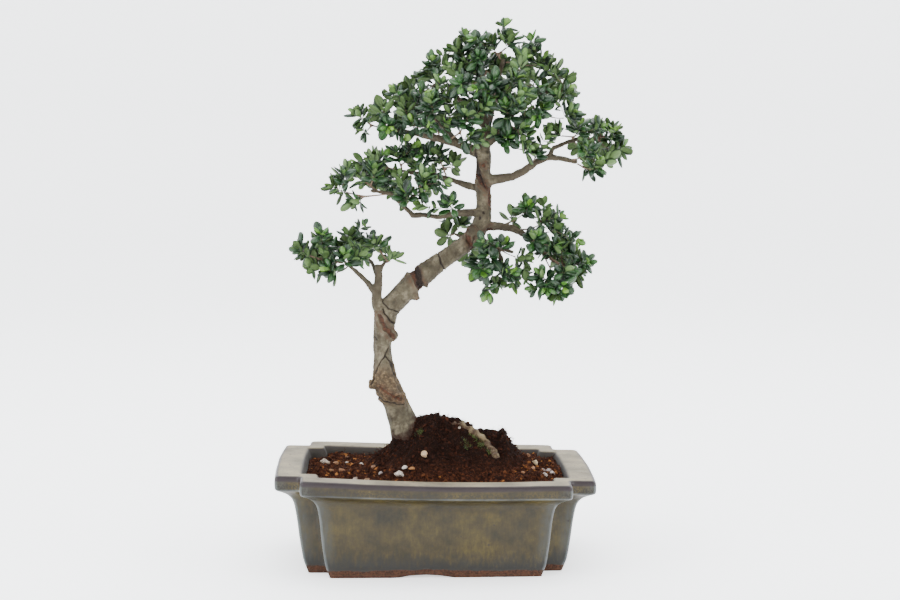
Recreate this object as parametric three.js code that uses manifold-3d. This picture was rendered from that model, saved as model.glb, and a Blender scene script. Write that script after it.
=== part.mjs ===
// Japanese holly bonsai in its glazed pot.
// Millimetres, Z up, X along the pot's long side, -Y the front. Everything is laid out from the
// middle of the pot's foot, and the whole is shifted at the end to stand centred on its own box.

import * as THREE from 'three';
import { mergeVertices } from 'three/addons/utils/BufferGeometryUtils.js';
import Module from 'manifold-3d';

const wasm = await Module();
wasm.setup();

// Driving dimensions of the pot
const POT_HEIGHT = 55;
const RIM_LENGTH = 174;
const RIM_DEPTH = 124;
const RIM_WIDTH = 14;
const RIM_DROP = 2;
const RIM_SAG = 1;
const CORNER_NOTCH = 14;
const FOOT_NOTCH = 12.3;
const MOUTH_NOTCH = 9;
const WALL = 6;
const FLOOR_TOP = 7;
const FOOT_RECESS = 4;
const FOOT_WIDTH = 8;
const FOOT_ARCH = { width: 30, rise: 1.8, x: -6 };
const DRAIN_RADIUS = 7;
const DRAIN_X = 34;

// Driving dimensions of what the pot holds
const GAP = 0.3;
const SOIL_LEVEL = 51;
const MESH_SIZE = 24;
const MESH_THICK = 0.8;
const MESH_HOLE = 5;

// Driving dimensions of the foliage
const LEAF_LENGTH = 8.6;
const LEAF_HALF_WIDTH = 0.31;
const LEAF_THICK = 1.0;
const WHORL_STEP = 2.7;
const WHORL_HEIGHT = 0.8;
const SHOOT_SIDES = 3;
const TWIG_RADIUS = 1;
const SHOOT_RADIUS = 0.8;
const SHOOT_END_RADIUS = 0.65;
const CLEAR = 0.3;

// Small helpers: solids from closed meshes, and closed meshes from rings

function solidFrom(geometry) {
  const bare = geometry.clone();
  bare.deleteAttribute('normal');
  bare.deleteAttribute('uv');
  const merged = mergeVertices(bare, 1e-5);
  return new wasm.Manifold(new wasm.Mesh({
    numProp: 3,
    vertProperties: new Float32Array(merged.attributes.position.array),
    triVerts: new Uint32Array(merged.index.array),
  }));
}

function geometryFrom(solid) {
  const mesh = solid.getMesh();
  const geometry = new THREE.BufferGeometry();
  geometry.setAttribute('position', new THREE.BufferAttribute(mesh.vertProperties, 3));
  geometry.setIndex(new THREE.BufferAttribute(mesh.triVerts, 1));
  return geometry;
}

// Skins a stack of rings with equal point counts and closes both ends with a fan. The fan turns
// about the ring's own middle where that is asked for, and about its first point otherwise.
function skin(rings, centredEnds) {
  const positions = [];
  const index = [];
  const count = rings[0].length;
  rings.forEach((ring) => ring.forEach((p) => positions.push(p.x, p.y, p.z)));
  for (let r = 0; r + 1 < rings.length; r += 1) {
    for (let i = 0; i < count; i += 1) {
      const a = r * count + i;
      const b = r * count + ((i + 1) % count);
      index.push(a, b, b + count, a, b + count, a + count);
    }
  }
  const fan = (first, flip) => {
    let hub = first;
    if (centredEnds) {
      const middle = new THREE.Vector3();
      rings[first / count].forEach((p) => middle.addScaledVector(p, 1 / count));
      hub = positions.length / 3;
      positions.push(middle.x, middle.y, middle.z);
    }
    for (let i = 0; i < count; i += 1) {
      const a = first + i;
      const b = first + ((i + 1) % count);
      if (a !== hub && b !== hub) index.push(hub, flip ? b : a, flip ? a : b);
    }
  };
  fan(0, true);
  fan((rings.length - 1) * count, false);
  const geometry = new THREE.BufferGeometry();
  geometry.setAttribute('position', new THREE.Float32BufferAttribute(positions, 3));
  geometry.setIndex(index);
  return geometry;
}

// A rod along a curve. Its radius and, on thick wood, its ripples are functions of the place.
function rod(curve, radiusAt, sides, steps, ripple = () => 1) {
  const rings = [];
  let across = null;
  for (let s = 0; s <= steps; s += 1) {
    const t = s / steps;
    const centre = curve.getPoint(t);
    const along = curve.getTangent(t);
    if (!across) {
      const aside = Math.abs(along.z) > 0.9 ? new THREE.Vector3(1, 0, 0) : new THREE.Vector3(0, 0, 1);
      across = aside.cross(along).normalize();
    }
    across.addScaledVector(along, -across.dot(along)).normalize();
    const third = new THREE.Vector3().crossVectors(along, across);
    const ring = [];
    for (let i = 0; i < sides; i += 1) {
      const angle = (2 * Math.PI * i) / sides;
      const radius = radiusAt(t) * ripple(angle, centre);
      ring.push(centre.clone()
        .addScaledVector(across, radius * Math.cos(angle))
        .addScaledVector(third, radius * Math.sin(angle)));
    }
    rings.push(ring);
  }
  return skin(rings, false);
}

// A repeatable stream of numbers between 0 and 1
function randomStream(seed) {
  let state = seed;
  return () => {
    state = (state * 48271) % 2147483647;
    return state / 2147483647;
  };
}

// The pot: a rectangle with set-back corners at every height, flaring to a thick flat rim

function potOutline(halfX, halfY, notch, bow) {
  const faceX = halfX - notch;
  const faceY = halfY - notch;
  const points = [];
  const long = [1, 0.5, 0, -0.5, -1];
  const short = [1, 0, -1];
  long.forEach((f) => points.push([-f * faceX, -halfY - bow * (1 - f * f)]));
  points.push([faceX, -faceY]);
  short.forEach((f) => points.push([halfX + 0.5 * bow * (1 - f * f), -f * faceY]));
  points.push([faceX, faceY]);
  long.forEach((f) => points.push([f * faceX, halfY + bow * (1 - f * f)]));
  points.push([-faceX, faceY]);
  short.forEach((f) => points.push([-halfX - 0.5 * bow * (1 - f * f), f * faceY]));
  points.push([-faceX, -faceY]);
  return points;
}

// The rim was thrown by hand: it drops to the right and sags a little in the middle of its length.
function settle(x, z) {
  const share = z / POT_HEIGHT;
  const sag = RIM_SAG * share ** 4 * Math.max(0, 1 - (x / 60) ** 2);
  return z - RIM_DROP * share * (x / (RIM_LENGTH / 2)) - sag;
}

function potRing(halfX, z, notch, bow) {
  const halfY = halfX - (RIM_LENGTH - RIM_DEPTH) / 2;
  return potOutline(halfX, halfY, notch, bow)
    .map(([x, y]) => new THREE.Vector3(x, y, settle(x, z)));
}

const RIM_HALF = RIM_LENGTH / 2;
const FOOT_HALF = 70.4;
const MOUTH_HALF = RIM_HALF - RIM_WIDTH;
const FLOOR_HALF = FOOT_HALF - WALL;

// Half length, height, corner notch and bow of the faces, up the outside of the pot
const OUTSIDE = [
  [FOOT_HALF, 0, FOOT_NOTCH, 0.5],
  [72.8, 8, 12.5, 0.8],
  [74.6, 20, 12.8, 1.2],
  [75.9, 31, 13.1, 1.6],
  [77.6, 39.5, 13.4, 2],
  [80.2, 43.5, 13.6, 2.4],
  [85.2, 46.6, 13.9, 2.8],
  [RIM_HALF, 48.6, CORNER_NOTCH, 3],
  [RIM_HALF, 54.2, CORNER_NOTCH, 3],
  [RIM_HALF - 0.8, POT_HEIGHT, CORNER_NOTCH, 3],
];

// The inside of the pot from under its rim down to its floor, or that much narrower for what
// fills it
function cavityRings(inset) {
  return [
    potRing(MOUTH_HALF - 1 - inset, POT_HEIGHT - 1.5, MOUTH_NOTCH, 1.5),
    potRing(FLOOR_HALF - inset, FLOOR_TOP + inset, FOOT_NOTCH, 0.5),
  ];
}

function makePot() {
  const rings = [
    potRing(FOOT_HALF - FOOT_WIDTH - 1, FOOT_RECESS, CORNER_NOTCH, 0),
    potRing(FOOT_HALF - FOOT_WIDTH, 0, CORNER_NOTCH, 0),
    ...OUTSIDE.map(([half, z, notch, bow]) => potRing(half, z, notch, bow)),
    potRing(MOUTH_HALF, POT_HEIGHT, MOUTH_NOTCH, 1.5),
    ...cavityRings(0),
  ];
  let pot = solidFrom(skin(rings, true));
  const arch = new THREE.Shape();
  arch.moveTo(FOOT_ARCH.x - FOOT_ARCH.width / 2, -1);
  arch.lineTo(FOOT_ARCH.x + FOOT_ARCH.width / 2, -1);
  arch.quadraticCurveTo(FOOT_ARCH.x, 1 + 2 * FOOT_ARCH.rise, FOOT_ARCH.x - FOOT_ARCH.width / 2, -1);
  const cut = new THREE.ExtrudeGeometry(arch, { depth: RIM_DEPTH, bevelEnabled: false, curveSegments: 6 });
  cut.rotateX(Math.PI / 2);
  cut.translate(0, RIM_DEPTH / 2, 0);
  pot = pot.subtract(solidFrom(cut));
  [-DRAIN_X, DRAIN_X].forEach((x) => {
    const hole = new THREE.CylinderGeometry(DRAIN_RADIUS, DRAIN_RADIUS, 20, 12);
    hole.rotateX(Math.PI / 2);
    hole.translate(x, 0, FLOOR_TOP - 5);
    pot = pot.subtract(solidFrom(hole));
  });
  return pot;
}

// Plastic mesh squares that keep the soil out of the drain holes
function makeDrainMesh(x) {
  const pitch = MESH_SIZE / 3.4;
  let sheet = solidFrom(new THREE.BoxGeometry(MESH_SIZE, MESH_SIZE, MESH_THICK));
  [-1, 0, 1].forEach((i) => [-1, 0, 1].forEach((j) => {
    const hole = new THREE.BoxGeometry(MESH_HOLE, MESH_HOLE, 4 * MESH_THICK);
    hole.translate(i * pitch, j * pitch, 0);
    sheet = sheet.subtract(solidFrom(hole));
  }));
  const geometry = geometryFrom(sheet);
  geometry.rotateY(Math.atan((RIM_DROP / RIM_HALF) * (FLOOR_TOP / POT_HEIGHT)));
  geometry.translate(x, 0, settle(x, FLOOR_TOP) + GAP + MESH_THICK / 2);
  return solidFrom(geometry);
}

// The wood: every limb is a list of places, each with its x, y, z and radius. The first list is
// the trunk from under the soil to where the crown divides. The others start inside it.
const LIMBS = {
  trunk: [
    [-13, 2, 62, 11], [-15, 2, 72, 9.5], [-20, 2, 84, 7.6], [-23, 1, 92, 7], [-27, 0, 100, 7.4],
    [-28, 0, 108, 5.8], [-29, 0, 118, 5.3], [-29, -1, 127, 5.2], [-28, -1, 135, 6],
    [-26, -1, 143, 6.6], [-20, 0, 149, 6.3], [-11, 1, 158, 6.4], [1, 3, 167, 5.4],
    [10, 4, 173, 4.9], [18, 4, 179, 5.4], [24, 4, 185, 5.4], [27, 3, 191, 4.9],
    [28, 2, 199, 4.2], [28, 2, 207, 4.2], [28, 2, 215, 4.7], [28, 1, 223, 4.1], [28, 0, 231, 4.4],
  ],
  root: [
    [-15, 1, 74, 6.5], [0, -2, 73, 4.8], [10, -5, 74.5, 4], [16, -7, 76, 3.2], [22, -9, 73.5, 2.7],
    [28, -12, 69.3, 2.3], [31.5, -18, 66, 2], [34, -24, 62, 1.8], [35.5, -29, 57, 1.4],
  ],
  stub_low: [[-26, 0, 100, 4], [-33, -1, 100, 3.2], [-36.5, -1, 100, 2.6]],
  stub_fork: [[-12, 1, 156, 4.5], [-10, -1, 150, 3.2], [-9.5, -1, 148, 2.4]],
  leader: [[28, 0, 228, 4], [30, 3, 246, 3], [33, 2, 260, 2.4], [36, 0, 272, 1.8], [39, -2, 282, 1.1]],
  crown_left: [
    [27, 0, 229, 3.4], [19, -4, 233, 3], [12, -8, 236, 2.6], [3, -10, 238, 2.2], [-8, -10, 241, 1.9],
    [-19, -8, 242, 1.6], [-29, -6, 244.5, 1.1],
  ],
  crown_upper_left: [[30, 3, 244, 2.3], [21, 7, 253, 1.9], [12, 9, 263, 1.5], [7, 9, 269, 1.1]],
  crown_right: [
    [29, 0, 234, 2.8], [37, -3, 242, 2.3], [42, -5, 250, 2], [48, -6, 257, 1.7],
    [56, -6, 262, 1.4], [66, -4, 265, 1],
  ],
  crown_back: [[29, 2, 237, 2.7], [31, 16, 250, 2], [31, 28, 262, 1.1]],
  crown_back_left: [[13, -7, 236, 2.2], [6, 8, 245, 1.7], [-8, 20, 254, 1]],
  crown_back_right: [[33, 2, 259, 1.9], [49, 14, 262, 1.5], [64, 22, 267, 1]],
  right_limb: [
    [29, 1, 215, 3.5], [37, -1, 216, 3], [44, -2, 217, 2.5], [50, -3, 220, 2.2], [57, -4, 225, 2],
    [64, -5, 228, 2.1], [72, -5, 227, 1.6], [80, -5, 225, 1.1],
  ],
  right_fork: [[64, -5, 228, 1.8], [67, -2, 233, 1.5], [75, 4, 236, 1.3], [84, 6, 239, 1.1]],
  lower_right: [
    [29, 3, 189, 3.1], [37, 2, 189, 2.5], [45, 1, 188, 2.2], [52, -1, 184, 1.8], [57, -3, 179, 1.5],
    [64, -5, 171, 1.1],
  ],
  lower_front: [
    [23, 0, 181, 3.4], [29, -8, 180, 2.6], [34, -11, 177, 2], [37, -12, 172, 1.5], [38, -12, 168, 1.2],
  ],
  lower_front_fork: [[34, -11, 177, 1.6], [39, -11, 177, 1.2], [44, -10, 175, 1]],
  left_lower: [
    [27, 1, 197, 3], [19, -5, 197, 2.3], [12, -9, 197, 1.8], [3, -12, 195, 1.5], [-5, -13, 196, 1.5],
    [-12, -13, 196, 1.7], [-18, -12, 202, 1.4], [-24, -11, 208, 1.2], [-35, -9, 209.5, 1],
  ],
  left_upper: [
    [27, 3, 210, 2.8], [23, 5, 211, 2.2], [16, 7, 213, 1.8], [8, 9, 216, 1.5], [-2, 12, 218, 1.3],
    [-13, 12, 219, 1.1], [-21, 11, 221, 0.9],
  ],
  low_left: [
    [-28, -1, 137, 4.2], [-32, -3, 146, 3.2], [-32, -4, 153, 2.8], [-31, -4, 160, 2.2], [-31, -4, 168, 1.7],
  ],
  low_left_fork: [[-32, -4, 151, 2.3], [-37, -5, 158, 1.7], [-43, -6, 164, 1.5], [-50, -6, 170, 0.9]],
  low_left_back: [[-31, -4, 160.4, 1.7], [-35, 6, 169, 1.1], [-41, 14, 173, 0.8]],
  low_right_fork: [[-31, -4, 163, 1.6], [-29, -3.5, 167, 1.2], [-27, -3, 170, 1]],
  back_branch: [[21, 5, 181, 3], [17, 16, 182, 1.5], [12, 24, 184, 0.9]],
};

// Healed knots and the flaky burr low on the trunk: x, y, z and radius
const KNOTS = [[-23, -2, 128, 3.2], [29, -2, 223, 3], [-25, -1, 95, 7.6], [22, 0, 185, 5]];

function limbCurve(name) {
  return new THREE.CatmullRomCurve3(
    LIMBS[name].map(([x, y, z]) => new THREE.Vector3(x, y, z)), false, 'catmullrom', 0.5,
  );
}

function limbSolid(name, swell) {
  const places = LIMBS[name];
  const thick = name === 'trunk';
  const last = places.length - 1;
  const radiusAt = (t) => {
    const i = Math.min(Math.floor(t * last), last - 1);
    const f = t * last - i;
    return places[i][3] * (1 - f) + places[i + 1][3] * f + swell;
  };
  const ripple = (a, p) => 1 + 0.05 * Math.sin(3 * a + p.z / 9) + 0.04 * Math.sin(2 * a - p.z / 5);
  const sides = thick ? 9 : (places[0][3] > 3.2 ? 6 : 4);
  const steps = thick ? last + 2 : last;
  return solidFrom(rod(limbCurve(name), radiusAt, sides, steps, thick ? ripple : undefined));
}

function makeWood(swell) {
  const pieces = Object.keys(LIMBS).map((name) => limbSolid(name, swell));
  KNOTS.forEach(([x, y, z, radius]) => {
    const knot = new THREE.OctahedronGeometry(radius + swell, 1);
    knot.translate(x, y, z);
    pieces.push(solidFrom(knot));
  });
  return wasm.Manifold.union(pieces);
}

// The soil: it fills the pot and climbs to a crumbly mound round the roots

// Crest of the mound from left to right: x and height
const CREST = [
  [-58, 51], [-46, 53], [-38, 57], [-31.5, 63], [-26, 69], [-23, 73], [-20, 79], [-14, 86.5], [-2, 85],
  [4, 81.5], [15, 80.5], [23, 75], [32, 73], [37, 72.5], [39.5, 75], [42, 70], [46, 63], [52, 56], [62, 51],
];
const MOUND = { y: -3, reach: 42, x: 4 };

function crestAt(x) {
  if (x <= CREST[0][0] || x >= CREST[CREST.length - 1][0]) return SOIL_LEVEL;
  const i = CREST.findIndex(([next]) => next > x) - 1;
  const [[x0, z0], [x1, z1]] = [CREST[i], CREST[i + 1]];
  return z0 + ((z1 - z0) * (x - x0)) / (x1 - x0);
}

function groundAt(x, y) {
  const away = Math.min(1, Math.abs(y - MOUND.y) / MOUND.reach);
  const crumbs = 0.7 * Math.sin(x / 5.1 + y / 7.3) + 0.5 * Math.sin(x / 3.7 - y / 4.9);
  return SOIL_LEVEL + (crestAt(x) - SOIL_LEVEL) * (1 - away ** 1.25) + crumbs;
}

// Pebbles that lie in the soil: x, y and radius
const PEBBLES = [
  [-63, 22, 2.2], [-56, 8, 1.8], [-52, -12, 2], [-44, -34, 1.9], [-20, -38, 2.4], [-34, -20, 1.7],
  [58, 4, 2.1], [63, -14, 2.3], [60, -30, 2],
];

function makeSoil(wood, drainMeshes) {
  const rings = [];
  const reach = [1, 0.74, 0.6, 0.5, 0.41, 0.32, 0.22, 0.12];
  const around = 26;
  const ringAt = (share, z) => Array.from({ length: around }, (_, i) => {
    const angle = (2 * Math.PI * i) / around;
    const x = MOUND.x + share * 92 * Math.cos(angle);
    const y = MOUND.y + share * 68 * Math.sin(angle);
    return new THREE.Vector3(x, y, z ?? groundAt(x, y));
  });
  rings.push(ringAt(1, 0));
  reach.forEach((share) => rings.push(ringAt(share)));
  const terrain = solidFrom(skin(rings, true));
  const cavity = cavityRings(GAP);
  const above = cavity[0].map((p) => new THREE.Vector3(p.x, p.y, 2 * POT_HEIGHT));
  const fill = skin([above, ...cavity], true);
  fill.setIndex([...fill.index.array].reverse());
  let soil = solidFrom(fill).intersect(terrain);
  PEBBLES.forEach(([x, y, radius], i) => {
    const pebble = new THREE.OctahedronGeometry(radius);
    pebble.scale(1.2, 1, 0.8);
    pebble.rotateZ(i);
    pebble.translate(x, y, groundAt(x, y) + 0.3);
    soil = soil.add(solidFrom(pebble));
  });
  soil = soil.subtract(wood);
  drainMeshes.forEach((mesh) => {
    const { min, max } = mesh.boundingBox();
    const pocket = new THREE.BoxGeometry(
      max[0] - min[0] + 2 * GAP, max[1] - min[1] + 2 * GAP, 2 * (max[2] + GAP - FLOOR_TOP) + 2,
    );
    pocket.translate((min[0] + max[0]) / 2, 0, FLOOR_TOP - 1);
    soil = soil.subtract(solidFrom(pocket));
  });
  return biggest(soil);
}

function biggest(solid) {
  return solid.decompose().reduce((a, b) => (a.volume() > b.volume() ? a : b));
}

// The foliage: each spray springs from a limb and carries one shoot to each of its tips
const SPRAYS = [
  ['low_left_1', 'low_left_fork', [[-78, -8, 181], [-62, -4, 185], [-66, 8, 174]]],
  ['low_left_2', 'low_left_fork', [[-60, -17, 168], [-50, -20, 177]]],
  ['low_left_3', 'low_left_back', [[-54, 16, 180], [-37, 20, 178]]],
  ['low_left_4', 'low_left_fork', [[-48, 2, 188]]],
  ['low_left_5', 'low_right_fork', [[-22, -3, 176], [-35, -6, 184]]],
  ['mid_left_1', 'left_lower', [[-59, -8, 215], [-49, -11, 203]]],
  ['mid_left_2', 'left_lower', [[-43, -4, 222], [-33, -14, 224]]],
  ['mid_left_3', 'left_upper', [[-36, 8, 231], [-33, 23, 216]]],
  ['mid_left_4', 'left_upper', [[-22, 2, 234], [-12, 8, 233]]],
  ['mid_left_5', 'left_lower', [[-16, -22, 212], [-4, -25, 221]]],
  ['mid_left_6', 'left_lower', [[7, -22, 206]]],
  ['mid_left_7', 'left_upper', [[1, 4, 234], [14, 14, 229]]],
  ['mid_left_8', 'left_upper', [[-5, 26, 214], [-20, 22, 209]]],
  ['crown_1', 'crown_left', [[-45, -4, 255], [-43, -9, 247]]],
  ['crown_2', 'crown_left', [[-29, -2, 260], [-25, -18, 244]]],
  ['crown_3', 'crown_left', [[-14, -3, 262], [-13, -19, 250]]],
  ['crown_4', 'crown_upper_left', [[-5, 6, 279], [-18, 8, 268]]],
  ['crown_5', 'leader', [[11, 4, 291], [2, 10, 284]]],
  ['crown_6', 'leader', [[21, -4, 285], [12, -18, 272]]],
  ['crown_7', 'leader', [[30, 0, 295], [44, -2, 297]]],
  ['crown_8', 'leader', [[31, -26, 272], [46, -24, 274]]],
  ['crown_9', 'crown_left', [[-3, -24, 262], [8, -27, 249]]],
  ['crown_10', 'crown_left', [[18, -30, 255], [22, -23, 241]]],
  ['crown_11', 'crown_right', [[38, -29, 258], [51, -22, 247]]],
  ['crown_12', 'crown_right', [[40, -18, 241], [57, -10, 236]]],
  ['crown_13', 'crown_right', [[61, -13, 257], [79, -8, 255]]],
  ['crown_14', 'crown_right', [[78, -6, 267], [74, 4, 276]]],
  ['crown_15', 'leader', [[54, 4, 290], [64, 2, 285]]],
  ['crown_16', 'crown_back_right', [[68, 31, 269], [56, 30, 276]]],
  ['crown_17', 'crown_back', [[33, 40, 269], [49, 38, 261]]],
  ['crown_18', 'crown_back', [[19, 40, 258], [30, 34, 252]]],
  ['crown_19', 'crown_back_left', [[-19, 30, 258], [4, 31, 249]]],
  ['crown_20', 'crown_back_left', [[-1, 34, 267], [-22, 18, 250]]],
  ['crown_21', 'leader', [[38, 22, 284], [20, 22, 282]]],
  ['right_1', 'right_limb', [[91, -8, 219], [93, -15, 227]]],
  ['right_2', 'right_fork', [[103, 4, 248], [109, 2, 235], [92, 6, 250]]],
  ['right_3', 'right_fork', [[97, 19, 240]]],
  ['right_4', 'right_fork', [[81, 0, 249], [67, 4, 247]]],
  ['right_5', 'right_limb', [[86, -16, 236]]],
  ['right_6', 'right_fork', [[86, 19, 232]]],
  ['right_7', 'right_limb', [[55, -13, 236]]],
  ['low_right_1', 'lower_right', [[46, 11, 199], [56, 8, 203]]],
  ['low_right_2', 'lower_right', [[64, 2, 198], [71, -4, 192]]],
  ['low_right_3', 'lower_right', [[56, -16, 187]]],
  ['low_right_4', 'lower_right', [[86, -2, 173], [72, -6, 182]]],
  ['low_right_5', 'lower_right', [[84, -7, 162], [76, -19, 169]]],
  ['low_right_6', 'lower_right', [[68, -13, 149], [57, -19, 165]]],
  ['low_right_7', 'lower_right', [[73, 18, 181], [77, 17, 164]]],
  ['front_1', 'lower_front_fork', [[38, -20, 183], [54, -11, 171]]],
  ['front_2', 'lower_front', [[22, -15, 162], [39, -12, 156]]],
  ['front_3', 'lower_front', [[28, -23, 176]]],
  ['back_1', 'back_branch', [[6, 32, 188], [18, 28, 195]]],
  ['back_2', 'back_branch', [[20, 21, 168]]],
];

// How the shoots are laid out: tries before giving up, places looked at along a limb, the stretch
// of a spray's main shoot that its side shoots leave from, and how much each try strays
const LIMB_SAMPLES = 24;
const LIMB_BASE_SAMPLES = 3;
const TWIG_TRIES = 90;
const TURN_TRIES = 6;
const TURN_STEP = 0.35;
const TIP_SHORTFALL = 6;
const SIDE_SHOOT_FROM = 0.42;
const SIDE_SHOOT_STEP = 0.16;
const STRAY = 0.3;
const STRAY_STEP = 0.03;
const BUD_LENGTH = 2;
const BEND_LIMIT = 0.6;
const SHORTEST_STRETCH = 1.5;
const TOUCH = 0.002;

// A spray leaves its limb a little behind the place nearest to its first tip.
function springPoint(limb, tip, attempt) {
  const curve = limbCurve(limb);
  let best = 0;
  let bestCost = Infinity;
  let length = 0;
  let previous = curve.getPoint(0);
  for (let i = 0; i <= LIMB_SAMPLES; i += 1) {
    const point = curve.getPoint(i / LIMB_SAMPLES);
    length += point.distanceTo(previous);
    previous = point;
    const cost = point.distanceTo(tip) + 0.45 * length;
    if (cost < bestCost && i > LIMB_BASE_SAMPLES) {
      bestCost = cost;
      best = i;
    }
  }
  const shift = Math.ceil((attempt % 8) / 2) * (attempt % 2 ? 1 : -1);
  const at = attempt % 4 === 3 ? LIMB_SAMPLES - 1 : best + shift;
  return curve.getPoint(Math.min(LIMB_SAMPLES - 1, Math.max(LIMB_BASE_SAMPLES, at)) / LIMB_SAMPLES);
}

// A shoot sets out level and turns up to the light, and stops short of its tip by most of a leaf.
function shootCurve(start, tip, stray, random) {
  const heading = tip.clone().sub(start).normalize();
  const finish = heading.clone().multiplyScalar(0.75);
  finish.x += stray * (random() - 0.5);
  finish.y += stray * (random() - 0.5);
  finish.z += heading.z < -0.3 ? 0.1 : 0.55;
  finish.normalize();
  const end = tip.clone().addScaledVector(finish, -TIP_SHORTFALL);
  const bend = end.clone().addScaledVector(finish, -0.45 * end.distanceTo(start));
  return new THREE.QuadraticBezierCurve3(start, bend, end);
}

function sprayCurves(row, seed, attempt) {
  const [, limb, tipList] = row;
  const tips = tipList.map(([x, y, z]) => new THREE.Vector3(x, y, z));
  const random = randomStream(seed + 977 * attempt);
  const stray = STRAY + STRAY_STEP * attempt;
  const main = shootCurve(springPoint(limb, tips[0], attempt), tips[0], stray, random);
  const curves = [main];
  tips.slice(1).forEach((tip, k) => {
    const fork = main.getPoint(SIDE_SHOOT_FROM + SIDE_SHOOT_STEP * k);
    curves.push(shootCurve(fork, tip, stray, random));
  });
  return curves;
}

// The whorls of a shoot from its end down: how far their leaves lean out. Each is turned from the
// next by half the angle between two leaves.
const WHORL_SPREADS = [0.6, 1.05, 1.4];
const WHORL_TURN = Math.PI / SHOOT_SIDES;

// A shoot is a row of stations with a frame that follows its curve without twisting: a bare
// stem first, then one station for each whorl of leaves.
function shootStations(curve, k) {
  const length = curve.getLength();
  const spreads = WHORL_SPREADS.slice(0, k === 0 && length > 14 ? 3 : 2);
  const startRadius = k === 0 ? TWIG_RADIUS : SHOOT_RADIUS;
  const places = spreads.map((_, back) => 1 - (back * WHORL_STEP) / length).reverse();
  const stem = length > 12 ? [0, 0.5 * places[0]] : [0];
  let across = null;
  const stations = [...stem, ...places].map((t) => {
    const axis = curve.getTangent(t).normalize();
    if (!across) {
      const aside = Math.abs(axis.z) > 0.9 ? new THREE.Vector3(1, 0, 0) : new THREE.Vector3(0, 0, 1);
      across = aside.cross(axis).normalize();
    }
    across.addScaledVector(axis, -across.dot(axis)).normalize();
    const third = new THREE.Vector3().crossVectors(axis, across);
    const radius = startRadius + (SHOOT_END_RADIUS - startRadius) * t;
    return { centre: curve.getPoint(t), axis, across: across.clone(), third, radius };
  });
  return { stem: stations.slice(0, stem.length), whorled: stations.slice(stem.length).reverse() };
}

function radial(station, angle) {
  return station.across.clone().multiplyScalar(Math.cos(angle))
    .addScaledVector(station.third, Math.sin(angle));
}

function shootRing(station, turn, lift, sides = SHOOT_SIDES) {
  return Array.from({ length: sides }, (_, i) => station.centre.clone()
    .addScaledVector(station.axis, lift)
    .addScaledVector(radial(station, turn + (2 * Math.PI * i) / sides), station.radius));
}

// The six free points of a leaf: its blunt outline, right and left, and its midrib, top and
// bottom. A leaf grows from one side of the shoot and leans out from the shoot's axis.
function leafPoints(station, angle, spread, size, roll) {
  const out = radial(station, angle);
  const along = station.axis.clone().multiplyScalar(Math.cos(spread));
  along.addScaledVector(out, Math.sin(spread));
  const up = station.axis.clone().multiplyScalar(Math.sin(spread));
  up.addScaledVector(out, -Math.cos(spread)).applyAxisAngle(along, roll);
  const side = new THREE.Vector3().crossVectors(up, along);
  const at = (l, w, h) => station.centre.clone()
    .addScaledVector(out, 0.6 * station.radius)
    .addScaledVector(along, l * size)
    .addScaledVector(side, w * size)
    .addScaledVector(up, h);
  const half = LEAF_HALF_WIDTH;
  const blunt = 0.62 * half;
  const droop = -LEAF_THICK / 2;
  return {
    outline: [at(0.48, -half, 0), at(0.93, -blunt, droop), at(0.93, blunt, droop), at(0.48, half, 0)],
    top: at(0.58, 0, LEAF_THICK / 2),
    bottom: at(0.58, 0, -LEAF_THICK / 2),
  };
}

// The leaves of one whorl. Upper whorls stand up, lower ones spread out flat.
function whorlLeaves(station, turn, spread, random) {
  return Array.from({ length: SHOOT_SIDES }, (_, i) => {
    const angle = turn + (2 * Math.PI * (i + 0.5)) / SHOOT_SIDES + 0.24 * (random() - 0.5);
    const lean = spread + 0.3 * (random() - 0.5);
    const size = LEAF_LENGTH * (0.84 + 0.34 * random());
    const roll = 0.5 * (random() - 0.5);
    return leafPoints(station, angle, lean, size, roll);
  });
}

// One shoot as a closed mesh: a three-sided rod whose side faces open into leaves at the whorls,
// ending in a bud.
function shootGeometry(stem, whorls, turn) {
  const positions = [];
  const index = [];
  const add = (p) => positions.push(p.x, p.y, p.z) / 3 - 1;
  const addRing = (station, angle, lift) => shootRing(station, angle, lift).map(add);
  const band = (low, high, leaves) => {
    for (let i = 0; i < SHOOT_SIDES; i += 1) {
      const j = (i + 1) % SHOOT_SIDES;
      const leaf = leaves && leaves[i];
      if (leaf) {
        const rim = leaf.outline.map(add);
        const top = add(leaf.top);
        const bottom = add(leaf.bottom);
        const upper = [high[i], ...rim, high[j]];
        const lower = [low[i], ...rim, low[j]];
        upper.forEach((p, k) => index.push(top, p, upper[(k + 1) % upper.length]));
        lower.forEach((p, k) => index.push(bottom, lower[(k + 1) % lower.length], p));
        index.push(high[i], low[i], rim[0], low[j], high[j], rim[rim.length - 1]);
      } else {
        index.push(low[i], low[j], high[j], low[i], high[j], high[i]);
      }
    }
  };
  let below = addRing(stem[0], turn, 0);
  index.push(below[0], below[2], below[1]);
  const next = (ring, leaves) => {
    band(below, ring, leaves);
    below = ring;
  };
  stem.slice(1).forEach((station) => next(addRing(station, turn, 0)));
  [...whorls].reverse().forEach(({ station, angle, leaves }) => {
    next(addRing(station, angle, -WHORL_HEIGHT / 2));
    next(addRing(station, angle, WHORL_HEIGHT / 2), leaves);
  });
  const { station } = whorls[0];
  const bud = add(station.centre.clone().addScaledVector(station.axis, BUD_LENGTH));
  below.forEach((p, i) => index.push(p, below[(i + 1) % SHOOT_SIDES], bud));
  const geometry = new THREE.BufferGeometry();
  geometry.setAttribute('position', new THREE.Float32BufferAttribute(positions, 3));
  geometry.setIndex(index);
  return geometry;
}

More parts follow.
